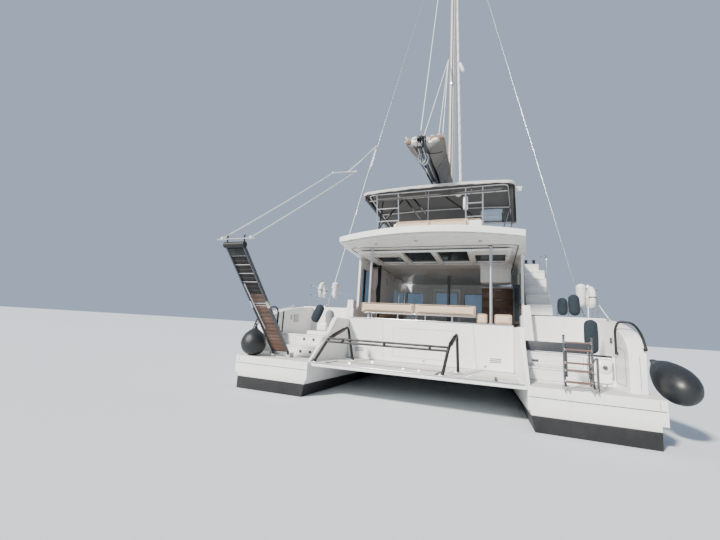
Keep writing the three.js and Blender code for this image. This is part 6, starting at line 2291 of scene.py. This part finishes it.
@dataclass
class Fenders:
    """Fenders, lifebuoys and the danbuoy at the stern."""

    def build(self) -> None:
        """Makes the pieces."""
        self.teardrops()
        self.flat_fenders()
        self.lifebuoys()

    def teardrops(self) -> None:
        """The long fender hung to starboard and the round one on the port platform."""
        long = [(0, 0), (0.03, 0.004), (0.045, 0.014), (0.055, 0.05), (0.067, 0.106), (0.105, 0.2), (0.15, 0.308),
                (0.195, 0.43), (0.229, 0.567), (0.253, 0.69), (0.265, 0.80), (0.262, 0.91), (0.241, 1.02),
                (0.203, 1.11), (0.15, 1.178), (0.08, 1.222), (0, 1.24)]
        tilt = 0.34
        eye = Vector((4.015, 1.32, 1.142))
        along = Vector((0, -math.cos(tilt), -math.sin(tilt)))
        fender = Shape().turned(long, eye, eye + along, FENDER, steps=48)
        fender.tube([eye + Vector((-0.03, 0, 0)), eye + Vector((-0.02, 0.05, 0.02)), eye + Vector((0.02, 0.05, 0.02)),
                     eye + Vector((0.03, 0, 0))], 0.014, NAVY, bend=0.03)
        fender.build("starboard_teardrop", BOAT, "starboard_fender", angle=60)
        round_profile = [(0, 0), (0.03, 0.002), (0.045, 0.01), (0.05, 0.04), (0.06, 0.06), (0.10, 0.09), (0.15, 0.13),
                         (0.20, 0.18), (0.235, 0.24), (0.26, 0.305), (0.27, 0.37), (0.26, 0.435), (0.235, 0.50),
                         (0.2, 0.55), (0.15, 0.59), (0.08, 0.62), (0, 0.627)]
        top = Vector((-3.39, 0.13, 1.303))
        fender = Shape().turned(round_profile, top, top - Vector((0, 0, 1)), FENDER, steps=48)
        fender.tube([top + Vector((-0.03, 0, -0.01)), top + Vector((-0.02, 0, 0.05)), top + Vector((0.02, 0, 0.05)),
                     top + Vector((0.03, 0, -0.01))], 0.012, NAVY, bend=0.03)
        fender.build("port_teardrop", BOAT, "port_fender", angle=60)
        lines = Shape()
        lines.tube(sagging((4.015, 1.36, 1.16), (3.60, 2.84, 2.30), 0.12), 0.008, ROPE)
        port_line = [(-3.39, 0.13, 1.34), (-3.55, 0.62, 1.62), (-3.60, 1.6, 1.80), (-3.58, 1.95, 1.88)]
        lines.tube(port_line, 0.008, ROPE, bend=0.2)
        lines.build("fender_lines", BOAT)

    def flat_fenders(self) -> None:
        """Round-topped fenders in navy covers, leaning on the coamings and on the side decks."""
        for name, middle, half, turn in (
                ("starboard_flat_fender", (3.13, 1.33, 1.50), (0.115, 0.075, 0.31), 0.0),
                ("starboard_deck_fender_1", (2.96, 3.0, 2.175), (0.105, 0.09, 0.205), 0.0),
                ("starboard_deck_fender_2", (3.197, 3.0, 2.218), (0.118, 0.10, 0.245), -0.03),
                ("port_leaning_fender", (-2.80, 1.84, 1.70), (0.125, 0.09, 0.245), 0.42)):
            piece = Shape().pad(middle, half, NAVY, turn).build(name, BOAT, angle=180)
        cover = Shape().pad((-2.50, 1.97, 1.585), (0.11, 0.12, 0.225), GREY_COVER, -0.1, foot=1.15)
        bag = cover.build("port_stowage_bag", BOAT, angle=180)

    def lifebuoys(self) -> None:
        """A horseshoe lifebuoy on each guard rail, a danbuoy and a light."""
        gear = Shape()
        for side, y, z in ((1, 2.75, 2.36), (-1, 3.3, 2.46)):
            x = side * 3.47
            horseshoe = [(x, y + 0.16 * math.cos(a) * 1.05, z + 0.20 * math.sin(a)) for a in
                         [math.radians(d) for d in range(-60, 241, 12)]]
            gear.tube(horseshoe, 0.062, WHITE_COVER, sides=4)
            for degrees in (0, 90, 180):
                a = math.radians(degrees)
                size = (0.07, 0.03 if degrees == 90 else 0.066, 0.03)
                gear.ball((x, y + 0.168 * math.cos(a), z + 0.20 * math.sin(a)), size, NAVY)
            gear.tube([(x + side * 0.05, y - 0.16, z - 0.28), (x + side * 0.05, y + 0.16, z - 0.28)], 0.010, STEEL)
            gear.rod((x + side * 0.05, y, z - 0.28), (x + side * 0.06, y, z + 0.1), 0.009, STEEL)
        for middle, half in (((3.47, 3.62, 2.51), (0.12, 0.14, 0.29)), ((-3.47, 4.22, 2.574), (0.12, 0.17, 0.28))):
            gear.pad(middle, half, WHITE_COVER, foot=0.62)
            x, y, z = middle
            post = math.copysign(3.63, x)
            for level in (-0.12, 0.1):
                gear.rod((x, y, z + level), (post, y, z + level), 0.009, STEEL)
        gear.rod((3.42, 2.78, 1.93), (3.42, 2.72, 2.58), 0.012, WHITE_COVER)
        float_profile = [(0, 0), (0.04, 0.01), (0.045, 0.1), (0.03, 0.17), (0, 0.18)]
        gear.turned(float_profile, (3.42, 2.755, 2.2), (3.42, 2.74, 3), TAN)
        light = [(0, 0), (0.03, 0.0), (0.034, 0.04), (0.02, 0.07), (0, 0.075)]
        gear.turned(light, (3.42, 2.72, 2.58), (3.42, 2.71, 3), WHITE)
        gear.build("lifebuoys_and_danbuoy", BOAT)


@dataclass
class GuardRails:
    """Stanchions, wires and gates along both side decks.

    Attributes:
        deck: Y, half width and height of the deck's edge.
        posts: Y of the stanchions.
        inset: how far they stand in from the edge.
        height: height of a stanchion.
        wires: heights of the wires as shares of the stanchion.
    """

    deck: tuple[Place, ...] = (
        (1.8, 3.70, 1.91), (4.0, 3.76, 1.935), (6.5, 3.79, 1.965), (9.0, 3.74, 2.0), (11.3, 3.53, 2.045),
        (13.1, 3.18, 2.085), (14.25, 2.88, 2.115))
    posts: tuple[float, ...] = (2.85, 4.6, 6.4, 8.2, 10.0, 11.7, 13.3)
    inset: float = 0.11
    height: float = 0.65
    wires: tuple[float, float] = (0.55, 0.98)

    def foot(self, side: int, y: float) -> Vector:
        """Place of a stanchion's foot.

        Args:
            side: 1 for starboard, -1 for port.
            y: distance forward of the transoms.

        Returns:
            The foot.
        """
        rows = np.array(self.deck)
        return Vector((side * (float(np.interp(y, rows[:, 0], rows[:, 1])) - self.inset), y,
                       float(np.interp(y, rows[:, 0], rows[:, 2]))))

    def build(self) -> None:
        """Makes both rails."""
        for side, word in SIDES:
            rail = Shape()
            feet = [self.foot(side, y) for y in self.posts]
            for foot in feet:
                top = foot + Vector((0, 0, self.height))
                rail.rod(foot + Vector((0, 0, 0.004)), top, 0.0135, STEEL)
                rail.ball(top, 0.0145, STEEL)
                rail.flange(foot, (0.045, 0.008, 0.02, 0.03), STEEL)
                for share in self.wires:
                    rail.ball(foot + Vector((0, 0, self.height * share)), 0.018, BLACK)
            for share in self.wires:
                rail.tube([foot + Vector((0, 0, self.height * share)) for foot in feet], 0.0045, STEEL)
            aft, fore = feet[0], feet[1]
            rise = Vector((0, 0, self.height))
            brace = [aft + rise * 0.98, aft + Vector((0, 0.42, self.height * 0.98)), aft + Vector((0, 0.42, 0.01))]
            rail.tube(brace, 0.012, STEEL, bend=0.1)
            rail.build(f"{word}_guard_wires", BOAT, f"{word}_guard_rail")


@dataclass
class Bow:
    """Foredeck with its hatches, windlass, anchor, cleats, forward cockpit seats and bow rails."""

    deck: float = 2.07
    well: tuple[float, float, float, float] = (1.5, 8.6, 10.9, 1.35)

    def build(self) -> None:
        """Makes the pieces."""
        Shape().node("foredeck", WHITE, DECK, 1.2).build("foredeck_moulding", BOAT, "foredeck", edge=0.016)
        self.hatches()
        self.anchor()
        self.seats()
        self.rails()

    def hatches(self) -> None:
        """Deck hatches, lockers and their frames."""
        trim = Shape()
        spots = [(-0.95, 11.75, self.deck), (0.95, 11.75, self.deck), (0.0, 11.2, self.deck - 0.01)]
        for side, word in SIDES:
            ground = Ground(f"{word}_hull")
            spots += [tuple(ground.under(side * 2.95, y)) for y in (9.3, 10.7)]
        for x, y, z in spots:
            trim.box((x - 0.3, y - 0.26, z - 0.012), (x + 0.3, y + 0.26, z + 0.024), RAW_ALLOY, 0.03, segments=3)
            trim.box((x - 0.265, y - 0.225, z), (x + 0.265, y + 0.225, z + 0.032), DARK_GLASS, 0.02, segments=3)
            for dx in (-0.16, 0.16):
                trim.box((x + dx - 0.03, y - 0.28, z + 0.01), (x + dx + 0.03, y - 0.23, z + 0.036), BLACK, 0.008)
        for side in (-1, 1):
            x0, x1 = sorted((side * 1.62, side * 2.2))
            trim.outline([(x0, 9.1, 2.006), (x1, 9.1, 2.006), (x1, 10.3, 2.032), (x0, 10.3, 2.032)], 0.004, SEAM)
        trim.build("foredeck_hatches", BOAT)

    def anchor(self) -> None:
        """Windlass, chain, bow roller and the anchor stowed on it, and mooring cleats."""
        gear = Shape()
        z = self.deck
        gear.box((-0.13, 11.72, z - 0.004), (0.13, 12.0, z + 0.03), STEEL, 0.012)
        windlass = [(0, 0), (0.09, 0), (0.09, 0.03), (0.055, 0.06), (0.06, 0.12), (0.085, 0.15), (0, 0.16)]
        gear.turned(windlass, (0.0, 11.86, z + 0.03), (0, 11.86, 9), STEEL)
        for i in range(13):
            y = 11.98 + i * 0.055
            turn = Matrix.Rotation(math.pi / 2 * (i % 2), 4, "Y")
            link = Matrix.Translation((-0.03, y, z + 0.035)) @ turn
            spots = [link @ Vector((0.022 * c, 0.036 * s, 0)) for c, s in circle(12)]
            gear.tube(spots, 0.006, STEEL, closed=True, sides=2)
        for side in (-1, 1):
            gear.box((side * 0.075 - 0.006, 12.58, 2.03), (side * 0.075 + 0.006, 13.12, 2.13), STEEL, 0.004)
        gear.rod((-0.07, 13.05, 2.07), (0.07, 13.05, 2.07), 0.04, BLACK, sides=20)
        shank = [(0, 12.5, 2.12), (0, 13.0, 2.12), (0, 13.3, 2.0), (0, 13.26, 1.78)]
        gear.tube(shank, 0.018, RAW_ALLOY, bend=0.12)
        for side in (-1, 1):
            gear.plate([(0, 13.28, 1.80), (side * 0.15, 13.16, 1.68), (side * 0.10, 13.02, 1.62), (0, 13.10, 1.66)],
                       Vector((0, 0.004, 0.014)), RAW_ALLOY)
        for side, word in SIDES:
            ground = Ground(f"{word}_hull")
            for y, along in ((12.9, (0, 1, 0)), (7.2, (0, 1, 0)), (3.7, (0, 1, 0))):
                x = float(np.interp(y, (3.7, 7.2, 12.9), (3.5, 3.5, 3.0)))
                cleat(gear, ground.under(side * x, y), along)
        gear.build("ground_tackle_and_cleats", BOAT)

    def seats(self) -> None:
        """Moulded seats and cushions of the forward cockpit."""
        half, aft, fore, sole = self.well
        seats = Shape()
        reach, top = half - 0.002, sole + 0.36
        seats.box((-reach, fore - 0.62, sole), (reach, fore - 0.002, top), WHITE, 0.03, segments=3)
        for side in (-1, 1):
            inner = side * (half - 0.5)
            seats.box((side * reach, aft + 1.05, sole), (inner, fore - 0.6, top), WHITE, 0.03, segments=3)
        planks(seats, (-0.95, aft + 0.1, sole + 0.001), (0.95, fore - 0.66, sole + 0.007))
        seats.build("forward_cockpit_seats", BOAT)
        low = sole + 0.363
        Cushion("forward_cockpit_cushion", (-0.98, fore - 0.6, low), (0.98, fore - 0.05, low + 0.09)).build()
        for side, word in SIDES:
            x0, x1 = sorted((side * (half - 0.03), side * (half - 0.49)))
            Cushion(f"forward_{word}_cushion", (x0, aft + 1.08, low), (x1, fore - 0.05, low + 0.09)).build()

    def rails(self) -> None:
        """Bow rails with their seats and the low rail round the forward cockpit."""
        rails = Shape()
        for side, word in SIDES:
            plan = ((3.07, 13.3, 2.09), (2.93, 13.95, 2.108), (2.70, 13.95, 2.108), (2.52, 13.3, 2.09))
            feet = [(side * x, y, z) for x, y, z in plan]
            high = 0.62
            top = [Vector(f) + Vector((0, 0, high)) for f in feet]
            rails.tube([feet[0], *top, feet[-1]], 0.0135, STEEL, bend=0.12)
            for foot, head in zip(feet[1:3], top[1:3]):
                rails.rod(foot, head, 0.0125, STEEL)
            middle = [Vector(f) + Vector((0, 0, high * 0.5)) for f in feet]
            rails.tube(middle, 0.010, STEEL, bend=0.1)
            for foot in feet:
                rails.flange(foot, (0.04, 0.008, 0.018, 0.025), STEEL)
            x = side * 1.7
            grip = [(x, 8.9, 2.0), (x, 8.9, 2.11), (x, 10.4, 2.13), (x, 10.4, 2.03)]
            rails.tube(grip, 0.0125, STEEL, bend=0.06)
        rails.build("bow_rails", BOAT)


@dataclass
class Underwater:
    """Rudders, saildrives and propellers."""

    drive: Place = (2.83, 2.62, -0.82)

    def build(self) -> None:
        """Makes the pieces."""
        reach, y, z = self.drive
        collar = [(0, 0), (0.045, 0), (0.048, 0.02), (0.04, 0.035), (0, 0.035)]
        cone = [(0, 0), (0.012, 0.002), (0.022, 0.016), (0.026, 0.03), (0, 0.03)]
        for side, word in SIDES:
            x = side * reach
            smooth_copy(f"{word}_rudder", f"{word}_rudder_blade", BOTTOM, 0.004, f"{word}_rudder")
            drive = Shape().node(f"{word}_saildrive", BOTTOM)
            drive.turned(collar, (x, y - 0.262, z), (x, y, z), BRONZE)
            for height in (-0.62, -0.56, -0.50):
                drive.box((x - 0.048, y - 0.03, height - 0.006), (x + 0.048, y + 0.03, height + 0.006), SEAM, 0.003)
            drive.build(f"{word}_saildrive_leg", BOAT, f"{word}_saildrive", edge=0.003)
            propeller = Shape().node(f"{word}_propeller", BRONZE)
            nut = y - 0.33 - 0.07
            propeller.turned(cone, (x, nut - 0.028, z), (x, y, z), BRONZE)
            body = f"{word}_propeller"
            propeller.build(f"{word}_propeller_blades", body, body, angle=50, edge=0.002)


@dataclass
class Studio:
    """Camera, soft sun, pale sky and a plain pale floor at the waterline.

    Attributes:
        place: the camera's place.
        yaw: turn of the view to port.
        pitch: how far it looks up.
        roll: its lean.
        lens: focal length in millimetres for a 36 mm wide sensor.
    """

    place: Place = (1.463, -6.173, 1.408)
    yaw: float = 0.375520152
    pitch: float = 0.165161720
    roll: float = 0.0623068097
    lens: float = 17.185

    def build(self) -> None:
        """Makes the camera, the lights and the floor."""
        self.camera()
        self.light()
        self.floor()

    def camera(self) -> None:
        """Sets the camera up at the photograph's viewing angle."""
        ahead = Vector((-math.sin(self.yaw) * math.cos(self.pitch), math.cos(self.yaw) * math.cos(self.pitch),
                        math.sin(self.pitch)))
        level = Vector((math.cos(self.yaw), math.sin(self.yaw), 0))
        rise = level.cross(ahead)
        right = level * math.cos(self.roll) + rise * math.sin(self.roll)
        up = rise * math.cos(self.roll) - level * math.sin(self.roll)
        data = bpy.data.cameras.new("view")
        data.sensor_fit, data.sensor_width, data.lens = "HORIZONTAL", 36.0, self.lens
        data.clip_start, data.clip_end = 0.05, 2000
        view = bpy.data.objects.new("view", data)
        view.matrix_world = Matrix.Translation(self.place) @ Matrix((right, up, -ahead)).transposed().to_4x4()
        bpy.context.scene.collection.objects.link(view)
        bpy.context.scene.camera = view

    def light(self) -> None:
        """A soft sun from astern and to port, and an even pale sky."""
        data = bpy.data.lights.new("sun", "SUN")
        data.energy, data.angle, data.color = 8.0, 0.12, (1.0, 0.955, 0.89)
        sun = bpy.data.objects.new("sun", data)
        sun.matrix_world = Vector((0.38, 0.78, -0.62)).to_track_quat("-Z", "Y").to_matrix().to_4x4()
        bpy.context.scene.collection.objects.link(sun)
        world = bpy.data.worlds.new("sky")
        world.use_nodes = True
        sky = world.node_tree.nodes["Background"]
        sky.inputs["Color"].default_value = (0.60, 0.73, 0.93, 1)
        sky.inputs["Strength"].default_value = 0.66
        bpy.context.scene.world = world

    def floor(self) -> None:
        """The pale floor at the waterline."""
        part = bmesh.new()
        bmesh.ops.create_grid(part, x_segments=2, y_segments=2, size=500)
        mesh = bpy.data.meshes.new("floor")
        part.to_mesh(mesh)
        part.free()
        floor = bpy.data.objects.new("floor", mesh)
        bpy.context.scene.collection.objects.link(floor)
        n = Nodes("studio_floor")
        cloud = n.span(n.noise(0.05, 4), 0.35, 0.7, 0, 0.5)
        n.finish(n.mix(cloud, (0.62, 0.66, 0.69), (0.66, 0.70, 0.73)), 0.85)
        mesh.materials.append(n.material)


ASSEMBLIES = (Studio, Hulls, Quarters, Ladder, AftPlatform, Cockpit, Cabin, Hardtop, Stairs, Flybridge, Bimini, Rig,
              BoomAndBag, Passerelle, Fenders, GuardRails, Bow, Underwater)


def main() -> None:
    """Builds every sub-assembly in order."""
    logging.basicConfig(level=logging.INFO, format="%(message)s")
    for assembly in ASSEMBLIES:
        assembly().build()
        LOG.info("%s finished", assembly.__name__)


if __name__ == "__main__":
    main()
